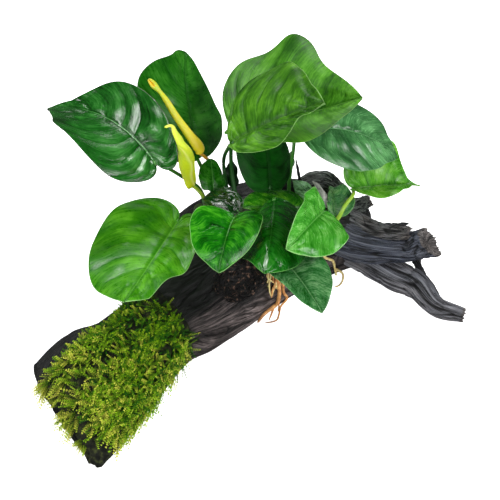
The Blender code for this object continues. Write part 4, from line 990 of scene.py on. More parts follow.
# %% Leaf material
def leaf_finish(name, look):
    """Green skin: soft patches, streaks that run with the side veins, furrows darkened as painted shade with
    a thin lighter vein in each, a valley along the midrib darkened as painted shade with a pale rib in it
    that is partly a painted highlight, and a thin line along the rim that is partly a painted sheen. The
    underside has a duller, more even green."""
    shade, green, glow = look["greens"]
    f = Finish(name, Specular_IOR_Level=look["gloss"])
    phase, out = f.mark("phase"), f.mark("out")

    def with_veins(across, along, shift, detail):
        """Noise that changes fast from vein to vein and slowly along them."""
        where = f.vector(f.maths("MULTIPLY", phase, across), f.maths("MULTIPLY", out, along), shift)
        return f.noise(1.0, detail, where, 0.6)

    broad = with_veins(1.3, 1.6, 3.0, 4)
    fine = with_veins(13.0, 3.5, 7.0, 5)
    patches = f.noise(45, 3)
    mottle = f.noise(520, 5, rough=0.7)
    between = f.mark("vein")
    tone = f.total((0.30, patches), (0.32, broad), (0.28, fine), (0.10, mottle))
    # painted shade and light: the tone drops a little in the furrows between the side veins and rises on the
    # swellings
    tone = f.maths("ADD", tone, f.fit(between, 0.1, 0.9, -0.020, 0.012))
    colour = f.steps(tone, [(0.41, shade), (0.50, green), (0.60, glow)])
    # painted shade: the furrows of the side veins are darkened towards the shade green
    colour = f.blend(f.fit(between, 0.08, 0.40, 0.24, 0.0), colour, shade)
    colour = f.blend(f.fit(between, 0.0, 0.14, 0.25, 0.0), colour, glow)
    # painted shade: the valley along the midrib is darkened
    colour = f.blend(f.fit(f.mark("rib"), 0.8, 3.0, 0.45, 0.0), colour, shade)
    # a pale rib along the midrib: the rib's own paler green, and partly a painted highlight
    colour = f.blend(f.fit(f.mark("rib"), 0.20, 0.60, look.get("midrib", 0.2), 0.0), colour,
                     tuple(1.15 * c + 0.02 for c in glow))
    # a thin line along the rim in its own colour: the leaf's margin, and partly a painted sheen on the edge
    colour = f.blend(f.fit(f.mark("rim"), 0.12, 0.42, 0.75, 0.0), colour, look["rim"])
    colour = f.blend(f.maths("MULTIPLY", f.mark("under"), 0.6), colour,
                     tuple(0.6 * c + 0.02 for c in green))
    rough = f.fit(f.total((0.5, mottle), (0.5, fine)), 0.38, 0.62, look["rough"] - 0.04, look["rough"] + 0.08)
    normal = f.bump(fine, 0.0004, 0.5)
    normal = f.bump(mottle, 0.0001, 0.5, normal)
    return f.set(Base_Color=colour, Roughness=rough, Normal=normal)


print("leaf materials to make:", len(LOOKS))

# %% The skin of a blade
BLADE_COLUMNS = 160
BLADE_ROWS = np.array([0, 0.02, 0.05, 0.09, 0.14, 0.20, 0.27, 0.34, 0.42, 0.50, 0.58, 0.66, 0.74, 0.82,
                       0.89, 0.94, 0.972, 0.990, 1.0])
HALF_THICKNESS = 0.30
LARGE_LEAF = 60              # shorter leaves have lower relief, in proportion


def blade_rings(leaf, look, q, seed):
    """Top and bottom of both half blades for the lines q. The skin swells between side veins (a power of a
    sine, so that each vein is a sharp furrow), sinks along the midrib (a bell curve) and is made uneven by
    long waves and crinkled by short ones; the two faces lie half a thickness above and below and meet at
    the rim."""
    faces, marks = [], []
    size = min(1.0, leaf["length"] / LARGE_LEAF)
    for half, side in ((0, 1), (1, -1)):
        points, frame_normal, reach, u = half_blade(leaf, half, q, BLADE_ROWS)
        t = BLADE_ROWS[:, None] * np.ones_like(u)
        local = grid_normals(points, closed=False)
        local *= np.sign(np.sum(local * frame_normal, -1, keepdims=True) + 1e-9)
        trust = (ease(t, 0.0, 0.10) * ease(q, 0.02, 0.08) * (1 - ease(q, 0.97, 0.995)))[..., None]
        local = unit(frame_normal * (1 - trust) + local * trust)
        bend = 0.10 * np.sin(math.pi * t)
        drift = 0.05 * waves(u, 0.3 * t * side, seed + 31, 3, 3, 5)
        phase = (q[None] ** 1.15 + bend * (1 - q[None])) * look["veins"] + drift * look["veins"] * 0.3
        between = np.abs(np.sin(math.pi * phase)) ** 0.6
        swell = look["depth"] * size * (between - 0.65) * np.sin(math.pi * t**0.8) ** 0.7
        valley = -0.60 * size * np.exp(-(t * reach / 1.5) ** 2) * ease(1 - q, 0.02, 0.2)
        uneven = look["uneven"] * size * waves(u, 0.5 * t * side, seed, 3.5, 5, 10) * ease(t, 0, 0.3)
        crinkle = look.get("crinkle", 0.0) * 0.4 * waves(u, t, seed + 5, 2.4, 1.5, 7) * np.sin(math.pi * t)
        height = swell + valley + uneven + crinkle
        thick = HALF_THICKNESS * np.sqrt(1 - t**12)
        ends = (ease(q, 0, 0.03) * 0.9 + 0.1) * np.ones_like(t)
        faces.append((points + local * (height * ends + thick)[..., None],
                      points + local * (height * ends - thick)[..., None]))
        marks.append(dict(vein=between, rib=t * reach, rim=(1 - t) * reach, phase=phase, out=side * t))

    def ring(left, right):
        """From the left rim over the midrib to the right rim."""
        return np.concatenate([left[::-1], right[1:]], 0)

    top = ring(faces[0][0], faces[1][0])
    bottom = ring(faces[0][1], faces[1][1])[::-1][1:-1]
    rings = np.swapaxes(np.concatenate([top, bottom], 0), 0, 1)
    ring_values = {}
    for key in marks[0]:
        over = ring(marks[0][key], marks[1][key])
        ring_values[key] = np.concatenate([over, over[::-1][1:-1]], 0).T
    ring_values["under"] = np.concatenate([np.zeros(top.shape[:2]), np.ones(bottom.shape[:2])], 0).T
    return rings, ring_values


print("points round a blade, over and under, and along it:", 4 * len(BLADE_ROWS) - 4, BLADE_COLUMNS)

# %% Leaf blades
SHORT_LEAF = 30              # leaves up to this length need only half the columns
LEAF_SEED = 100
columns = np.linspace(0.006, 0.994, BLADE_COLUMNS)
for number, (leaf_name, leaf) in enumerate(LEAVES.items()):
    look = LOOKS[leaf_name]
    q = columns if leaf["length"] > SHORT_LEAF else columns[::2]
    rings, ring_values = blade_rings(leaf, look, q, LEAF_SEED + number)
    poles = [half_blade(leaf, 0, np.array([end]), np.array([0.0]))[0][0, 0] for end in (0.0, 1.0)]
    points, faces = skin(rings, poles)
    marks = {key: ring_marks(values) for key, values in ring_values.items()}
    blade = put_mesh("blade_" + leaf_name, points, faces, leaf_finish("leaf " + leaf_name, look), marks)
    settle(blade, "leaf", "leaf_" + leaf_name)
print("blades made:", sum(o.name.startswith("blade_") for o in made))

# %% [markdown]
# ## The creeping stem and the stalks
# The stem is about 11 millimetres thick and ringed with scars of old leaves. The stalks leave it and meet
# each blade from below, where the midrib begins. Tubes carried along paths do both. A stalk is thicker at its
# foot and under its blade, and has a shallow groove on its upper side.

# %% Creeping stem
RHIZOME_ROUTE = [(-34, 22, 49), (-18, 15, 52), (2, 9, 53), (24, 8, 53), (42, 9, 51), (54, 13, 47)]
STEM_RINGS = 150
STEM_SIDES = 40
STEM_RADIUS = 5.5
STEM_SCARS = 22
stem_line = smooth_path(RHIZOME_ROUTE, STEM_RINGS)
stem_t = np.linspace(0, 1, STEM_RINGS)
from_middle = np.abs(2 * stem_t - 1)
from_scar = stem_t * STEM_SCARS % 1 - 0.5
scars = 0.07 * np.cos(12 * math.pi * stem_t) - 0.05 * np.exp(-(from_scar / 0.13) ** 2)
stem_radii = STEM_RADIUS * (1 - 0.35 * from_middle ** 3) * (1 + scars)
stem_radii *= np.sqrt(np.clip(1 - from_middle ** 30, 0.02, 1))
stem_rough = 0.05 * waves(stem_t[:, None], np.arange(STEM_SIDES)[None] / STEM_SIDES, 41, 9, 5)
stem_points, stem_faces = skin(tube(stem_line, stem_radii, STEM_SIDES, 1.0, stem_rough))


def stem_finish():
    """Green-brown skin with darker scars and corky specks."""
    f = Finish("creeping stem", 0.55)
    scar = f.fit(f.mark("scar"), 0.45, 0.9, 0.0, 0.85)
    colour = f.steps(f.noise(160, 6), [(0.35, (0.012, 0.030, 0.008)), (0.55, (0.045, 0.090, 0.020)),
                                       (0.75, (0.120, 0.150, 0.050))])
    colour = f.blend(scar, colour, (0.020, 0.016, 0.010))
    normal = f.bump(f.noise(600, 5), 0.0006, 0.7)
    return f.set(Base_Color=colour, Normal=normal)


scar_mark = np.exp(-(from_scar / 0.16) ** 2)[:, None] * np.ones(STEM_SIDES)
stem = put_mesh("creeping_stem", stem_points, stem_faces, stem_finish(), {"scar": ring_marks(scar_mark)})
settle(stem, "rhizome", "rhizome")
print("stem with", STEM_SCARS, "scars")

# %% Stalk routes and materials
# Where each stalk leaves the stem, as a share of the stem's length, and the places it passes
STALKS = {
    "far_left": (0.10, [(-31, 31, 57), (-43, 37, 63), (-58, 27, 87)]),
    "back_left": (0.17, [(-24, 28, 63), (-32, 43, 71)]),
    "back_right": (0.32, [(-11, 27, 78), (-11, 33, 98)]),
    "top": (0.28, [(-14, 27, 60), (-16, 39, 73), (-12, 6, 118)]),
    "right": (0.60, [(24, 18, 57), (24, 34, 59), (27, 56, 67), (28, 62, 80), (30, 50, 97)]),
    "far_right": (0.86, [(52, 4.5, 59), (56.5, 9, 66), (61.8, 17, 67)]),
    "middle_dark": (0.39, [(4, 23, 62), (9, 25, 67)]),
    "small_left": (0.20, [(-20, 18, 57), (-22, 21, 61)]),
    "front_heart": (0.36, [(-5, 1, 64), (-7, -8, 75)]),
    "front_left": (0.16, [(-28, 10, 57), (-35, 3, 62)]),
    "front_middle": (0.57, [(19, 0, 61), (17, 0, 70)]),
    "front_right": (0.58, [(20, -7, 57), (19, -21, 59)]),
    "light": (0.74, [(40, 4, 59), (42, 0, 67)]),
    "wrinkled": (0.26, [(-12, 11, 59), (-10, 8, 66)]),
    "under_middle": (0.68, [(30, 11, 57)]),
    "small_grey": (0.77, [(41, 14, 53), (41, 17, 54)]),
    "bud": (0.82, [(44, 14, 55)]),
    "small_right": (0.93, [(51, 13, 54)]),
    "hidden_right": (0.51, [(15, 20, 55), (18, 31, 55)]),
    "hidden_left": (0.35, [(-8, 20, 54), (-10, 28, 54)]),
}


def stalk_finish(name, low, high):
    """The low colour turns into the high one towards the blade, with fine lighter streaks along the stalk
    and a brown foot."""
    f = Finish(name, 0.34)
    where = f.vector(f.maths("MULTIPLY", f.mark("along"), 2.0), f.maths("MULTIPLY", f.mark("around"), 8.0))
    streaks = f.noise(3.0, 4, where)
    colour = f.blend(f.fit(f.mark("along"), 0.1, 0.9), low, high)
    colour = f.blend(f.fit(streaks, 0.45, 0.7, 0.0, 0.5), colour, tuple(1.5 * c for c in high))
    colour = f.blend(f.fit(f.mark("along"), 0.0, 0.10, 0.7, 0.0), colour, (0.09, 0.08, 0.03))
    return f.set(Base_Color=colour, Normal=f.bump(streaks, 0.0004, 0.5))


mid_stalk = stalk_finish("stalk mid green", (0.020, 0.110, 0.010), (0.045, 0.200, 0.020))
dark_stalk = stalk_finish("stalk dark green", (0.008, 0.060, 0.006), (0.012, 0.085, 0.010))
bright_stalk = stalk_finish("stalk yellow green", (0.180, 0.340, 0.020), (0.300, 0.480, 0.035))
STALK_LOOKS = {"back_right": dark_stalk, "top": dark_stalk, "middle_dark": dark_stalk,
               "hidden_left": dark_stalk, "far_right": bright_stalk}
print("stalks that aren't mid green:", list(STALK_LOOKS))

# %% Leaf stalks
STALK_RINGS = 60
STALK_SIDES = 18
STALK_RADIUS = 1.3
SMALL_STALK_RADIUS = 0.9
SMALL_LEAF = 35              # blades shorter than this have a thin stalk
BELOW_BLADE = 1.15           # where the solid's stalk ends: under the midrib and before the notch
SHORT_OF_BLADE = 1.2
NECK_BELOW_BLADE = 0.9       # where its skin ends: a little past the notch
NECK_PAST_NOTCH = 1.5
ROUTE_STEPS = 100


def stalk_skin(route, radius, neck=1.0):
    """A tube along the route: radius * (1 + a swelling at the foot and one at the neck - 0.3 * t), less a
    groove on the upper side; t runs from the foot to the blade."""
    line = smooth_path(route, STALK_RINGS)
    t = np.linspace(0, 1, STALK_RINGS)
    radii = radius * (1 + 0.25 * np.exp(-(t / 0.12)**2) - 0.30 * t
                      + 0.18 * neck * np.exp(-((t - 0.93) / 0.05)**2))
    radii *= np.sqrt(np.clip(1 - t**60, 0.03, 1))
    angle = np.arange(STALK_SIDES) * TAU / STALK_SIDES
    groove = -0.10 * np.exp(-((angle[None] - math.pi / 2) / 0.5)**2) * np.ones((STALK_RINGS, 1))
    points, faces = skin(tube(line, radii, STALK_SIDES, 1.0, groove))
    along = t[:, None] * np.ones(STALK_SIDES)
    around = np.abs(np.arange(STALK_SIDES) / STALK_SIDES - 0.5)[None] * np.ones((STALK_RINGS, 1))
    return points, faces, {"along": ring_marks(along), "around": ring_marks(around)}


def stem_point(share):
    """The stem's middle at a share of its length."""
    return smooth_path(RHIZOME_ROUTE, ROUTE_STEPS + 1)[int(share * ROUTE_STEPS)]


for leaf_name, (share, passed) in STALKS.items():
    leaf = LEAVES[leaf_name]
    place, along, _, normal = blade_frame(leaf, np.array([0.0]))
    under = place[0] - normal[0] * BELOW_BLADE - along[0] * SHORT_OF_BLADE
    neck = place[0] - normal[0] * NECK_BELOW_BLADE + along[0] * NECK_PAST_NOTCH
    radius = SMALL_STALK_RADIUS if leaf["length"] < SMALL_LEAF else STALK_RADIUS
    points, faces, marks = stalk_skin([stem_point(share), *passed, under, neck], radius)
    stalk = put_mesh("stalk_piece_" + leaf_name, points, faces, STALK_LOOKS.get(leaf_name, mid_stalk), marks)
    settle(stalk, "stalk", "stalk_" + leaf_name)
print("stalks:", len(STALKS))

# %% [markdown]
# ## The flower sheaths
# A spathe is one leaf rolled into a sheath, swollen at its foot, drawn in at a neck and open at its tip. The
# golden one is ripe and lies against a leaf; the green one is still closed, with a hooked tip. Both are a
# squashed tube along a path. On the golden one's open head the front of each ring is pressed inwards.

# %% Sheath surfaces
# Route and radii of each sheath, how flat it is, the places its stalk passes and where that leaves the stem
SPATHES = {
    "gold": dict(
        route=[(-31, 38, 80), (-31, 40, 84), (-36, 43, 91), (-44, 48, 102), (-49, 53, 109),
               (-53, 57, 113), (-57, 60, 116), (-60, 63, 118)],
        radii=[1.9, 3.6, 3.0, 2.3, 1.9, 1.3, 2.3, 1.2], flatten=0.8,
        stalk=[(-20, 28, 58), (-23, 41, 67), (-28, 40.5, 76), (-31, 38.5, 81)], foot=0.23),
    "green": dict(
        route=[(-37, 28, 61), (-36, 26, 69), (-37, 21, 85), (-37, 18, 100), (-39, 14, 113),
               (-42, 15, 120), (-44, 17, 124), (-48, 16, 124)],
        radii=[1.5, 3.6, 4.6, 4.7, 3.2, 1.8, 1.0, 0.8], flatten=0.7,
        stalk=[(-29, 24, 59), (-33, 28, 61), (-36.5, 27.5, 64)], foot=0.17),
}
SHEATH_RINGS = 120
SHEATH_SIDES = 48


def sheath_rings(spec, open_head):
    """Rings along the sheath, and marks for its material. The rolled edge is a ridge that winds slowly round.
    Where the head is open, the front of the ring sinks a little past its middle, which leaves a spoon."""
    table = np.column_stack([np.asarray(spec["route"], float), spec["radii"]])
    line = smooth_path(table, SHEATH_RINGS)
    t = np.linspace(0, 1, SHEATH_RINGS)[:, None]
    radii = line[:, 3] * np.sqrt(np.clip(1 - np.abs(2 * t[:, 0] - 1) ** 40, 0.03, 1))
    turn = np.arange(SHEATH_SIDES)[None] / SHEATH_SIDES
    from_edge = turn - (0.62 + 0.10 * t)
    ridge = 0.10 * np.exp(-(from_edge / 0.025) ** 2) - 0.05 * np.exp(-((from_edge + 0.05) / 0.03) ** 2)
    head = open_head * ease(t, 0.80, 0.87) * (1 - ease(t, 0.965, 1.0))
    hollow = head * np.exp(-((turn - 0.37) / 0.13) ** 2)
    rough = ridge + 0.03 * waves(t, turn, 61, 7, 5) - 1.25 * hollow
    rings = tube(line[:, :3], radii, SHEATH_SIDES, spec["flatten"], rough)
    marks = {"along": ring_marks(t * np.ones_like(turn)), "hollow": ring_marks(hollow),
             "edge": ring_marks(np.exp(-(from_edge / 0.03) ** 2))}
    return rings, marks


print("sheaths to make:", list(SPATHES))


# %% Sheath material
def sheath_finish(name, foot, body, tip, inside, rim):
    """Colour runs from foot to tip, with spots of the foot's colour and tiny warts; the rolled edge is paler,
    and the open head has its own colour inside."""
    f = Finish(name, 0.42, Subsurface_Weight=0.15, Subsurface_Scale=0.003)
    along = f.mark("along")
    colour = f.steps(along, [(0.05, foot), (0.35, body), (0.80, tip)])
    spots = f.noise(520, 4, rough=0.6)
    colour = f.blend(f.fit(spots, 0.42, 0.66, 0.0, 0.30), colour, foot)
    colour = f.blend(f.maths("MULTIPLY", f.mark("edge"), 0.8), colour, rim)
    colour = f.blend(f.fit(f.mark("hollow"), 0.05, 0.45), colour, inside)
    normal = f.bump(f.cells(900), 0.0005, 0.5)
    return f.set(Base_Color=colour, Normal=normal)


SHEATH_LOOKS = {
    "gold": sheath_finish("golden sheath", (0.76, 0.56, 0.018), (0.66, 0.62, 0.022),
                          (0.42, 0.54, 0.030), (0.70, 0.46, 0.014), (0.74, 0.76, 0.10)),
    "green": sheath_finish("green sheath", (0.54, 0.64, 0.006), (0.66, 0.80, 0.012),
                           (0.72, 0.84, 0.080), (0.36, 0.50, 0.02), (0.86, 0.90, 0.24)),
}
FLOWER_STALK_LOOKS = {
    "gold": stalk_finish("flower stalk gold", (0.30, 0.17, 0.02), (0.50, 0.26, 0.02)),
    "green": stalk_finish("flower stalk green", (0.20, 0.34, 0.02), (0.36, 0.50, 0.03)),
}
HOW_OPEN = {"gold": 1.0, "green": 0.0}
for kind, spec in SPATHES.items():
    rings, marks = sheath_rings(spec, HOW_OPEN[kind])
    sheath = put_mesh("sheath_" + kind, *skin(rings), SHEATH_LOOKS[kind], marks)
    settle(sheath, "spathe_" + kind, "spathe_" + kind)
    points, faces, marks = stalk_skin([stem_point(spec["foot"]), *spec["stalk"]], STALK_RADIUS, neck=0.3)
    stalk = put_mesh("flower_stalk_" + kind, points, faces, FLOWER_STALK_LOOKS[kind], marks)
    settle(stalk, "stalk", "spathe_" + kind + "_stalk")
print("flower sheaths:", len(SPATHES))

# %% [markdown]
# ## Roots
# Pale and orange roots come out of the stem, lie over the wood's edge and run down its front. Below the crown
# old roots have matted into a dark felt, whose near-black colour is partly painted shade of the hollow under
# the crown. The thick roots are tubes on the solids' own paths, and thinner side roots leave them. The felt
# is a dark lump covered with hundreds of fine fibres, each a thin three-sided tube that follows the lump.

# %% Routes of the thick roots
# Route and radius in millimetres, and taper: how thick the tip is as a share of the foot
ROOTS = {
    "front_long": dict(
        route=[(16, 5, 53), (16, -3, 52.5), (16.5, -9.5, 49), (17, -14, 44), (17, -18.5, 36),
               (17, -19, 27), (18, -19, 19), (17, -20, 9), (14, -22.5, 7.5), (8.5, -27.5, 7),
               (4.5, -31, 3)],
        radius=1.5, taper=0.7, slot="root_orange"),
    "front_short": dict(
        route=[(23.5, 5, 53), (22.5, -1, 52), (22, -5.5, 48), (21.5, -11.5, 40.5), (20.5, -15, 29),
               (20.5, -16.5, 16), (23, -14, 6), (19, -18.5, 3), (18, -23.5, 2), (16, -28.5, 2),
               (8.5, -30.5, 2)],
        radius=1.3, taper=0.35, slot="root_orange"),
    "front_pale": dict(
        route=[(11, 5, 53), (11, -3, 53), (10.5, -9, 52), (9.5, -15, 49.5), (9, -21, 44),
               (8.5, -24, 42), (7, -26.5, 36)],
        radius=1.0, taper=0.6, slot="root_pale"),
    "right_loop": dict(
        route=[(45.5, 8, 49), (45.5, 4, 45), (45.5, 3, 37), (46, 1, 28), (51.5, 5, 19.5),
               (53.5, 6, 10.5), (54.5, 4.5, 5)],
        radius=1.1, taper=0.6, slot="root_pale"),
    "right_ring": dict(
        route=[(53.5, 6, 10.5), (58, 3.5, 9), (58.5, 1, 6), (56.5, -2, 4), (53.5, -3, 3)],
        radius=0.8, taper=0.6, slot="root_pale"),
}
print("thick roots to make:", list(ROOTS))


# %% Root materials
def root_finish(name, skin_colour, shade, tip):
    """Fleshy root: skin with soft patches of a darker shade, and another colour at its end."""
    f = Finish(name, 0.48, Subsurface_Weight=0.10, Subsurface_Scale=0.002)
    patches = f.noise(260, 5)
    colour = f.blend(f.fit(patches, 0.35, 0.65), shade, skin_colour)
    colour = f.blend(f.fit(f.mark("along"), 0.80, 1.0, 0.0, 0.8), colour, tip)
    return f.set(Base_Color=colour, Normal=f.bump(f.noise(700, 4), 0.0005, 0.6))


root_looks = {
    "root_orange": root_finish("orange root", (0.62, 0.31, 0.10), (0.33, 0.13, 0.030), (0.22, 0.10, 0.04)),
    "root_pale": root_finish("pale root", (0.62, 0.52, 0.22), (0.40, 0.30, 0.10), (0.45, 0.40, 0.12)),
}
print("root materials:", list(root_looks))

# %% Thick roots
ROOT_RINGS = 90
ROOT_SIDES = 14


def root_skin(route, radius, taper, seed, rings=ROOT_RINGS, sides=ROOT_SIDES):
    """A tube that thins evenly from its foot to its tip, with soft knots along it."""
    line = smooth_path(route, rings)
    t = np.linspace(0, 1, rings)
    knots = 1 + 0.10 * np.sin(TAU * 6 * t + seed) * np.sin(TAU * 2.3 * t + 2 * seed)
    radii = radius * (1 + (taper - 1) * t) * knots * np.sqrt(np.clip(1 - t**50, 0.02, 1))
    points, faces = skin(tube(line, radii, sides))
    return points, faces, {"along": ring_marks(t[:, None] * np.ones(sides))}


for seed, (root_name, spec) in enumerate(ROOTS.items()):
    points, faces, marks = root_skin(spec["route"], spec["radius"], spec["taper"], seed)
    root = put_mesh("root_piece_" + root_name, points, faces, root_looks[spec["slot"]], marks)
    settle(root, spec["slot"], "root_" + root_name)
print("thick roots:", len(ROOTS))

# %% Side roots
# Route, radius and slot of each
SIDE_ROOTS = [
    ([(17, -18.5, 33), (15, -19.5, 27), (13.5, -21.5, 23), (13, -23, 17.5)], 0.75, "root_orange"),
    ([(17, -18.5, 30), (15.8, -20, 26), (14.5, -21, 23), (13.2, -22.5, 18)], 0.6, "root_pale"),
    ([(12, -20, 38), (11.5, -22.5, 32), (11.8, -23, 25), (12.8, -23, 19.5)], 0.7, "root_pale"),
    ([(9, -22, 43), (10.5, -24, 39), (13.5, -22.5, 33), (14.5, -21, 30)], 0.55, "root_pale"),
    ([(14.5, -23, 7.5), (13, -26, 4.5), (11.7, -28.5, 2.5)], 0.75, "root_orange"),
    ([(21, -12, 39), (20, -15, 34), (18.5, -17.5, 28), (18.2, -19.5, 22)], 0.6, "root_pale"),
    ([(13, -17, 46), (12.5, -21, 40), (12, -22.5, 34), (10.8, -23.5, 29)], 0.60, "root_pale"),
    ([(14.5, -16, 45), (14, -20, 39), (13.8, -21.5, 34), (14.6, -21.2, 30)], 0.65, "root_orange"),
    ([(18.5, -13, 44), (18.5, -17, 38), (19.3, -18, 33), (19.8, -18, 28), (19, -18.5, 24)], 0.65,
     "root_orange"),
    ([(16, -17, 38), (15.2, -19.8, 33), (15.8, -20, 28), (16.4, -20.5, 23)], 0.60, "root_pale"),
    ([(17, -20, 12), (17.8, -22, 9), (17.2, -24, 5.5)], 0.60, "root_orange"),
    ([(11.5, -17, 46), (10.8, -21.5, 41), (11, -23, 37), (10.2, -24, 33.5)], 0.55, "root_pale"),
    ([(15.5, -17, 42), (16, -20.5, 36), (15, -22, 31), (14.8, -23, 26)], 0.60, "root_orange"),
    ([(20.5, -13, 42), (21, -16, 36), (22, -17, 31), (21.6, -18, 27)], 0.55, "root_pale"),
]
SIDE_ROOT_TAPER = 0.6
SIDE_ROOT_RINGS = 36
SIDE_ROOT_SIDES = 10
for number, (route, radius, slot_name) in enumerate(SIDE_ROOTS):
    points, faces, marks = root_skin(route, radius, SIDE_ROOT_TAPER, number, SIDE_ROOT_RINGS, SIDE_ROOT_SIDES)
    settle(put_mesh("side_root_%d" % (number + 1), points, faces, root_looks[slot_name], marks), slot_name)
print("side roots:", len(SIDE_ROOTS))

# %% Root felt
FELT_CENTRE = np.array([-6.0, -27.0, 43.0])
FELT_HALF = np.array([16.0, 12.0, 10.0])
FELT_LEAN = math.radians(38)    # how far its long side is turned, along the wood's edge
FELT_SHARE = 0.86               # its radius as a share of the solid's; the fibres reach beyond it
FELT_RINGS = 60
FELT_SIDES = 90


def felt_surface(polar, around, swell):
    """A lump: an ellipsoid whose radius is roughened by waves and multiplied by swell, then turned."""
    ball = np.stack([np.sin(polar) * np.cos(around), np.sin(polar) * np.sin(around), np.cos(polar)], -1)
    rough = (1 + 0.07 * np.sin(7 * ball[..., 0] + 3) * np.cos(6 * ball[..., 1])
             + 0.05 * np.sin(9 * ball[..., 2]))
    p = ball * (rough * swell)[..., None] * FELT_HALF
    x = p[..., 0] * math.cos(FELT_LEAN) - p[..., 1] * math.sin(FELT_LEAN)
    y = p[..., 0] * math.sin(FELT_LEAN) + p[..., 1] * math.cos(FELT_LEAN)
    return np.stack([x, y, p[..., 2]], -1) + FELT_CENTRE


felt_polar, felt_around = np.meshgrid(np.linspace(0.06, math.pi - 0.06, FELT_RINGS),
                                      np.arange(FELT_SIDES) * TAU / FELT_SIDES, indexing="ij")
felt_bumps = 1 + 0.035 * waves(felt_polar / math.pi, felt_around / TAU, 71, 9, 13, 14)
felt_points, felt_faces = skin(felt_surface(felt_polar, felt_around, FELT_SHARE * felt_bumps))
felt = Finish("root felt", 0.85)
# painted shade: the felt's near-black colour stands partly for the shade of the hollow under the crown
felt_and_painted_shade = felt.steps(felt.noise(500, 6), [(0.40, (0.002, 0.002, 0.002)), (0.60, (0.008, 0.006, 0.005)),
                                              (0.80, (0.030, 0.020, 0.014))])
felt.set(Base_Color=felt_and_painted_shade, Normal=felt.bump(felt.noise(800, 6), 0.0012, 1.0))
settle(put_mesh("root_felt", felt_points, felt_faces, felt.material), "root_mat", "root_mat")
print("felt:", len(felt_points), "points")


# %% Many thin tubes at once
def thin_tubes(paths, radius, taper):
    """Thin three-sided tubes: paths is (tubes, stations, 3) and radius one number for each. Round each
    station stand three corners, and a point closes each end."""
    count, stations = paths.shape[:2]
    slanting = np.array([0.31, 0.17, 0.94])
    along = unit(np.gradient(paths, axis=1))
    side = unit(np.cross(along, slanting))
    up = np.cross(along, side)
    t = np.linspace(0, 1, stations)
    size = (radius[:, None] * (1 + (taper - 1) * t))[..., None, None]
    angle = np.arange(3) * TAU / 3
    ring = paths[:, :, None] + size * (side[:, :, None] * np.cos(angle)[:, None]
                                       + up[:, :, None] * np.sin(angle)[:, None])
    points = np.concatenate([ring.reshape(count, -1, 3), paths[:, :1], paths[:, -1:]], 1)
    number = np.arange(stations * 3).reshape(stations, 3)
    a, b = number[:-1], number[1:]
    quads = np.stack([a, b, np.roll(b, -1, 1), np.roll(a, -1, 1)], -1).reshape(-1, 4)[:, ::-1]
    first, last = number[0], number[-1]
    fans = np.concatenate([np.stack([np.full(3, stations * 3), np.roll(first, -1), first], -1),
                           np.stack([np.full(3, stations * 3 + 1), last, np.roll(last, -1)], -1)])
    step = points.shape[1] * np.arange(count)[:, None, None]
    return points.reshape(-1, 3), [(quads[None] + step).reshape(-1, 4), (fans[None] + step).reshape(-1, 3)]


FIBRES = 900
FIBRE_STATIONS = 8
FIBRE_TAPER = 0.35
draw = np.random.default_rng(72)
each = (FIBRES, 1)
fibre_t = np.linspace(0, 1, FIBRE_STATIONS)[None]
fibre_polar = draw.uniform(0.35, 2.2, each) + draw.normal(0, 0.5, each) * fibre_t
bends = fibre_t * draw.uniform(0.5, 2, each) + draw.uniform(0, 1, each)
fibre_polar = fibre_polar + 0.10 * np.sin(TAU * bends)
fibre_around = draw.uniform(math.pi * 0.8, math.pi * 2.2, each) + draw.normal(0, 0.7, each) * fibre_t
fibre_lift = FELT_SHARE + draw.uniform(0.0, 0.20, each)
fibre_lift = fibre_lift + 0.09 * np.sin(TAU * fibre_t * draw.uniform(0.6, 1.6, each))
fibre_paths = felt_surface(fibre_polar, fibre_around, fibre_lift)
fibre_points, fibre_faces = thin_tubes(fibre_paths, draw.uniform(0.18, 0.42, FIBRES), FIBRE_TAPER)
fibre = Finish("root fibres", 0.6)
# the fibres are mostly near-black like the felt, partly painted shade, with reddish brown ones at random
fibre_colour = fibre.steps(fibre.noise(420, 4), [(0.50, (0.002, 0.002, 0.002)), (0.58, (0.012, 0.008, 0.006)),
                                                 (0.68, (0.260, 0.150, 0.100))])
fibre.set(Base_Color=fibre_colour)
settle(put_mesh("root_fibres", fibre_points, fibre_faces, fibre.material), "root_mat")
print("fibres:", FIBRES)

# %% [markdown]
# ## The moss cushion
# The moss is thousands of small fronds, each a stem with side leaves in two rows. They hang outwards over the
# left and lower edges and stand up in the middle. Hair particles could do this, but their result changes with
# the version, and the model has to hold real meshes. So one frond is written as a handful of points, and all
# of them are worked out together as arrays: where it grows, which way it leans, how long and how green it is.

# %% Where the cushion lies
# The solid trunk has 21 outlines of 26 corners, and two more outlines before the first. The cushion's solid
# reaches from outline 1 to 9 and from corner 4 to 13 of it.
SOLID_STEPS = 20
SOLID_SIDES = 26
FIRST_RING, LAST_RING = 1, 9
FIRST_SIDE, LAST_SIDE = 4, 13
MOSS_RIM = 1.2               # millimetres
MOSS_THICKNESS = 7.0


def moss_place(ring, side):
    """A place on the trunk in the solid's own numbering of rings and sides; the first ring is drawn in."""
    cap = np.clip(2 - ring, 0, 1)
    return trunk_surface(np.clip((ring - 2) / SOLID_STEPS, 0, 1), (side + 0.5) * TAU / SOLID_SIDES,
                         1 - 0.12 * cap, -3.0 * cap)


def moss_lift(ring, side):
    """The cushion's thickness: a dome that falls to its rim, lumpy, thinner down the front."""
    along = np.minimum(1.0, 2.2 * np.sin(math.pi * (ring - FIRST_RING + 0.35) / 8.7))
    around = np.minimum(1.0, 2.0 * np.sin(math.pi * (side - FIRST_SIDE + 0.35) / 9.7))
    lump = 1 + 0.12 * np.sin(1.9 * (ring - FIRST_RING) + 0.7) * np.cos(1.3 * (side - FIRST_SIDE))
    front = 1 - 0.45 * np.maximum(0.0, (side - 9) / 4)
    return MOSS_RIM + MOSS_THICKNESS * along * around * lump * front


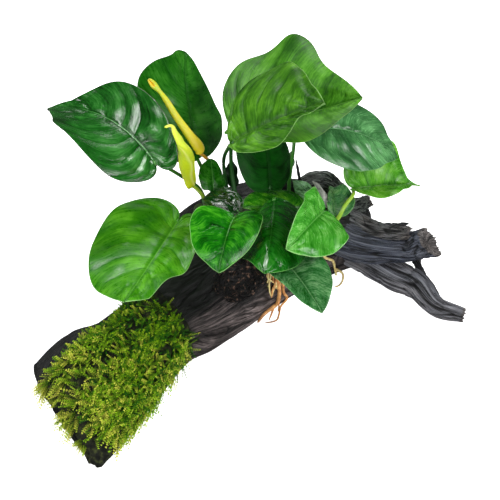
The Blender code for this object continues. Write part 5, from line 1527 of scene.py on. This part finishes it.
INSIDE_TRUNK = np.array([-80.0, -68.0, 5.0])    # a place in the wood under the cushion
ABOVE_WOOD = 0.6


def moss_top(ring, side, share=1.0):
    """The cushion's skin at a share of its thickness, and the direction out of it: the cross product of the
    steps to the neighbours along and around the wood, turned away from the trunk's inside."""
    step = 0.05
    p = moss_place(ring, side)
    out = unit(np.cross(moss_place(ring, side + step) - moss_place(ring, side - step),
                        moss_place(ring + step, side) - moss_place(ring - step, side)))
    out *= np.sign(np.sum(out * (p - INSIDE_TRUNK), -1, keepdims=True))
    return p + out * (ABOVE_WOOD + moss_lift(ring, side) * share)[..., None], out


print("cushion's thickness in its middle:", round(float(moss_lift(5.0, 8.0)), 1))

# %% Moss bed
BED_GRID = 110
BED_SHARE = 0.45             # the bed fills nearly half of the cushion's thickness, and fronds the rest
BED_FOOT = 0.4               # it stops this far above the ground
bed_ring, bed_side = np.meshgrid(np.linspace(FIRST_RING, LAST_RING, BED_GRID),
                                 np.linspace(FIRST_SIDE, LAST_SIDE, BED_GRID), indexing="ij")
upper, bed_out = moss_top(bed_ring, bed_side, BED_SHARE)
bed_bumps = 0.8 * waves(bed_ring / LAST_RING, bed_side / LAST_SIDE, 81, 9, 12, 16)
upper = upper + bed_out * bed_bumps[..., None]
lower = moss_top(bed_ring, bed_side, 0.0)[0]
bed_rings = np.concatenate([upper, lower[:, ::-1]], 1)
bed_rings[..., 2] = np.maximum(bed_rings[..., 2], BED_FOOT)
bed_points, bed_faces = skin(bed_rings)
moss_bed = Finish("moss bed", 0.8, Specular_IOR_Level=0.2)
# painted shade: the bed is near-black so that the gaps between the fronds look shaded
bed_painted_shade = moss_bed.steps(moss_bed.noise(300, 6), [(0.40, (0.004, 0.005, 0.003)),
                                                     (0.52, (0.012, 0.014, 0.006)),
                                                     (0.66, (0.040, 0.050, 0.012))])
moss_bed.set(Base_Color=bed_painted_shade, Normal=moss_bed.bump(moss_bed.noise(500, 6), 0.002, 1.0))
settle(put_mesh("moss_bed", bed_points, bed_faces, moss_bed.material), "moss", "moss_cushion")
print("moss bed:", len(bed_points), "points")

# %% One frond, many times
LEAFLET_AT = np.linspace(0.14, 0.93, 7)
STEM_THICK = 0.20


def frond_points(root, rise, side, length, bend, width):
    """All corners of all fronds: the stem is root + length * (t * rise + t * t * bend); each leaflet is a
    flat spike with its base on the stem and its tip out to one side and forward."""
    turned = unit(side - rise * np.sum(side * rise, -1, keepdims=True))
    over = np.cross(turned, rise)
    corners = []

    def stem(t):
        """The stem's middle, t from its foot (0) to its tip (1)."""
        return root + length[:, None] * (t * rise + t * t * bend)

    for t in (0.0, 0.5):
        size = STEM_THICK * (1 - 0.5 * t)
        corners += [stem(t) + turned * size, stem(t) - turned * size * 0.5 + over * size * 0.87,
                    stem(t) - turned * size * 0.5 - over * size * 0.87]
    corners.append(stem(1.0))
    foot = np.clip(0.070 * length, 0.42, 0.85)[:, None]
    for t in LEAFLET_AT:
        ahead = unit(rise + 2 * t * bend)
        reach = (width * (1.20 - 0.80 * t))[:, None]
        for way in (1, -1):
            corners += [stem(t) - ahead * foot * 0.7, stem(t) + ahead * foot, stem(t) + over * 0.22,
                        stem(t) + (turned * way * 0.80 + ahead * 0.66 + over * 0.18) * reach]
    return np.stack(corners, 1)


def frond_faces():
    """Faces of one frond: the stem's two lengths and, for each leaflet, the four sides of its spike. The
    leaflets stand left and right in turn, so every second one's faces run the other way round."""
    faces = [(0, 2, 1)]
    for k in range(3):
        j = (k + 1) % 3
        faces += [(k, j, 3 + j), (k, 3 + j, 3 + k), (3 + k, 3 + j, 6)]
    for leaflet in range(len(LEAFLET_AT) * 2):
        a, b, c, d = (7 + 4 * leaflet + i for i in range(4))
        if leaflet % 2 == 0:
            faces += [(a, b, d), (b, c, d), (c, a, d), (a, c, b)]
        else:
            faces += [(a, d, b), (b, d, c), (c, d, a), (a, b, c)]
    return np.array(faces)


def frond_tips():
    """How far each corner is from the frond's foot (0) to its tips (1)."""
    values = [0, 0, 0, 0.5, 0.5, 0.5, 1.0]
    for t in LEAFLET_AT:
        values += [t * 0.6, t * 0.6, t * 0.6, 0.50 + 0.50 * t] * 2
    return np.array(values)


print("faces of one frond:", len(frond_faces()))

# %% A crop of fronds
DRIFT = np.array([-0.80, -0.58, -0.10])    # towards the wood's left end
UP = np.array([0.0, 0.0, 1.0])


def add_fronds(name, finish, ring, side, away, seed, length, trail, tone):
    """A crop of fronds rooted at ring and side that spread away from the middle of their tuft. trail 0
    stands up; trail 1 lies along the drift towards the wood's left end and sinks at its tip. Fronds whose
    tip would touch the ground are left out, and the number of the others is given back."""
    draw = np.random.default_rng(seed)
    count = len(ring)
    trail = trail[:, None]
    top, lift = moss_top(ring, side, 0.50)
    # Each frond grows out, flows sideways and sinks at its tip; across is the direction of its leaflets
    drift = unit(DRIFT - lift * np.sum(DRIFT * lift, -1, keepdims=True))
    spread = unit(away - lift * np.sum(away * lift, -1, keepdims=True))
    flow = unit(drift * (0.20 + 0.80 * trail) + spread * (0.95 - 0.45 * trail))
    rise = unit(lift * (0.95 - 0.62 * trail) + flow * (0.50 + 0.50 * trail))
    ahead = flow * draw.uniform(0.05, 0.35, (count, 1))
    bend = ahead - (UP * 0.55 + lift * 0.45) * (draw.uniform(0.05, 0.30, (count, 1)) + 0.32 * trail)
    roll = draw.normal(0, 0.45, (count, 1))
    across = np.cross(flow, lift)
    across = across * np.cos(roll) + lift * np.sin(roll)
    width = draw.uniform(1.1, 2.1, count) * (0.72 + 0.03 * length)
    clear_of_floor = (top + length[:, None] * (rise + bend))[:, 2] > 1.2
    corners = frond_points(top - lift, rise, across, length, bend, width)[clear_of_floor]
    corners[..., 2] = np.maximum(corners[..., 2], 0.3)
    planted, corner_count = corners.shape[:2]
    marks = {"tip": np.tile(frond_tips(), planted), "tone": np.repeat(tone[clear_of_floor], corner_count)}
    faces = (frond_faces()[None] + corner_count * np.arange(planted)[:, None, None]).reshape(-1, 3)
    settle(put_mesh(name, corners.reshape(-1, 3), [faces], finish, marks, smooth=False), "moss")
    return planted


print("trailing fronds lie along", DRIFT.tolist())

# %% Moss material
moss_green = Finish("moss fronds", 0.55, Specular_IOR_Level=0.15)
moss_tone = moss_green.mark("tone")
# painted shade: the fronds darken towards their foot, for the shade deep in the cushion
moss_foot_painted_shade = moss_green.steps(moss_tone, [(0.0, (0.002, 0.012, 0.0005)), (0.5, (0.010, 0.034, 0.001)),
                                         (1.0, (0.045, 0.085, 0.002))])
# the tips are the moss's fresh green, brightened partly as painted light
moss_tip = moss_green.steps(moss_tone, [(0.0, (0.030, 0.200, 0.001)), (0.5, (0.380, 0.720, 0.008)),
                                        (1.0, (1.000, 1.000, 0.120))])
moss_colour = moss_green.blend(moss_green.fit(moss_green.mark("tip"), 0.20, 1.00), moss_foot_painted_shade, moss_tip)
moss_green.set(Base_Color=moss_colour)
print("moss material:", moss_green.material.name)


# %% Plant the moss
def bare_wood(ring, side):
    """True where the photographed cushion leaves the wood bare: at its left front and right back corners,
    and in two gaps at its left end."""
    corners = ((ring < 2.9) & (side > 8.9)) | ((ring < 3.7) & (side > 10.9)) | ((ring > 7.6) & (side < 5.6))
    gaps = ((ring < 2.3) & (side > 4.9) & (side < 6.0)) | ((ring < 2.8) & (side > 6.9) & (side < 8.5))
    return corners | gaps


TUFTS_ALONG, TUFTS_AROUND = 27, 21
FRONDS_IN_TUFT = 5
SPREAD_ALONG = 0.10          # in outlines of the trunk
SPREAD_AROUND = 0.14         # in its sides
draw = np.random.default_rng(90)
tuft_ring, tuft_side = np.meshgrid(np.linspace(1.2, 8.4, TUFTS_ALONG), np.linspace(4.3, 12.2, TUFTS_AROUND),
                                   indexing="ij")
tuft_ring = tuft_ring.ravel() + draw.uniform(-0.16, 0.16, tuft_ring.size)
tuft_side = tuft_side.ravel() + draw.uniform(-0.22, 0.22, tuft_side.size)
tuft_tone = draw.normal(0, 0.26, tuft_ring.size)
tuft = np.repeat(np.flatnonzero(~bare_wood(tuft_ring, tuft_side)), FRONDS_IN_TUFT)
fronds = len(tuft)
ring = np.clip(tuft_ring[tuft] + draw.normal(0, SPREAD_ALONG, fronds), 1.05, 8.6)
side = np.clip(tuft_side[tuft] + draw.normal(0, SPREAD_AROUND, fronds), 4.1, 12.6)
away = moss_top(ring, side)[0] - moss_top(tuft_ring[tuft], tuft_side[tuft])[0]
print("fronds to plant:", fronds)

# %% Lengths and tones of the fronds
# Fronds trail at the left end and down the front, and grow longer there. Three lines then shorten those at
# the right, along the back and at the left end.
at_left = 1 - ease(ring, 1.6, 3.6)
at_front = ease(side, 9.4, 11.6) * (1 - 0.5 * ease(ring, 6.5, 8.4))
trail = np.clip(np.maximum(at_left, at_front) * draw.uniform(0.7, 1.0, fronds) + 0.10, 0, 1)
length = draw.uniform(6.0, 10.0, fronds) + 5.5 * trail * draw.uniform(0.5, 1.0, fronds)
length -= 1.5 * ease(ring, 6.0, 8.0)
length *= 1 - 0.35 * (1 - ease(side, 4.2, 5.2)) * (1 - at_left)
length *= 1 - (0.30 + 0.35 * ease(side, 7.6, 9.2)) * (1 - ease(ring, 1.8, 3.4))
tone = 0.60 - 0.085 * (ring - 3) + 0.18 * trail + tuft_tone[tuft] + draw.normal(0, 0.24, fronds)
tone = np.clip(tone, 0, 1)
CROPS = {"left": (0.0, 3.4), "middle": (3.4, 6.1), "right": (6.1, 9.0)}
for number, (crop, (first, last)) in enumerate(CROPS.items()):
    here = (ring >= first) & (ring < last)
    planted = add_fronds("moss_fronds_" + crop, moss_green.material, ring[here], side[here], away[here],
                         91 + number, length[here], trail[here], tone[here])
    print("fronds,", crop, planted)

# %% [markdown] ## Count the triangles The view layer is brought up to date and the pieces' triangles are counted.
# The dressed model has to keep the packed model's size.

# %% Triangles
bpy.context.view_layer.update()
triangles = sum(sum(len(p.vertices) - 2 for p in o.data.polygons) for o in made)
print("pieces:", len(made), "triangles:", triangles)
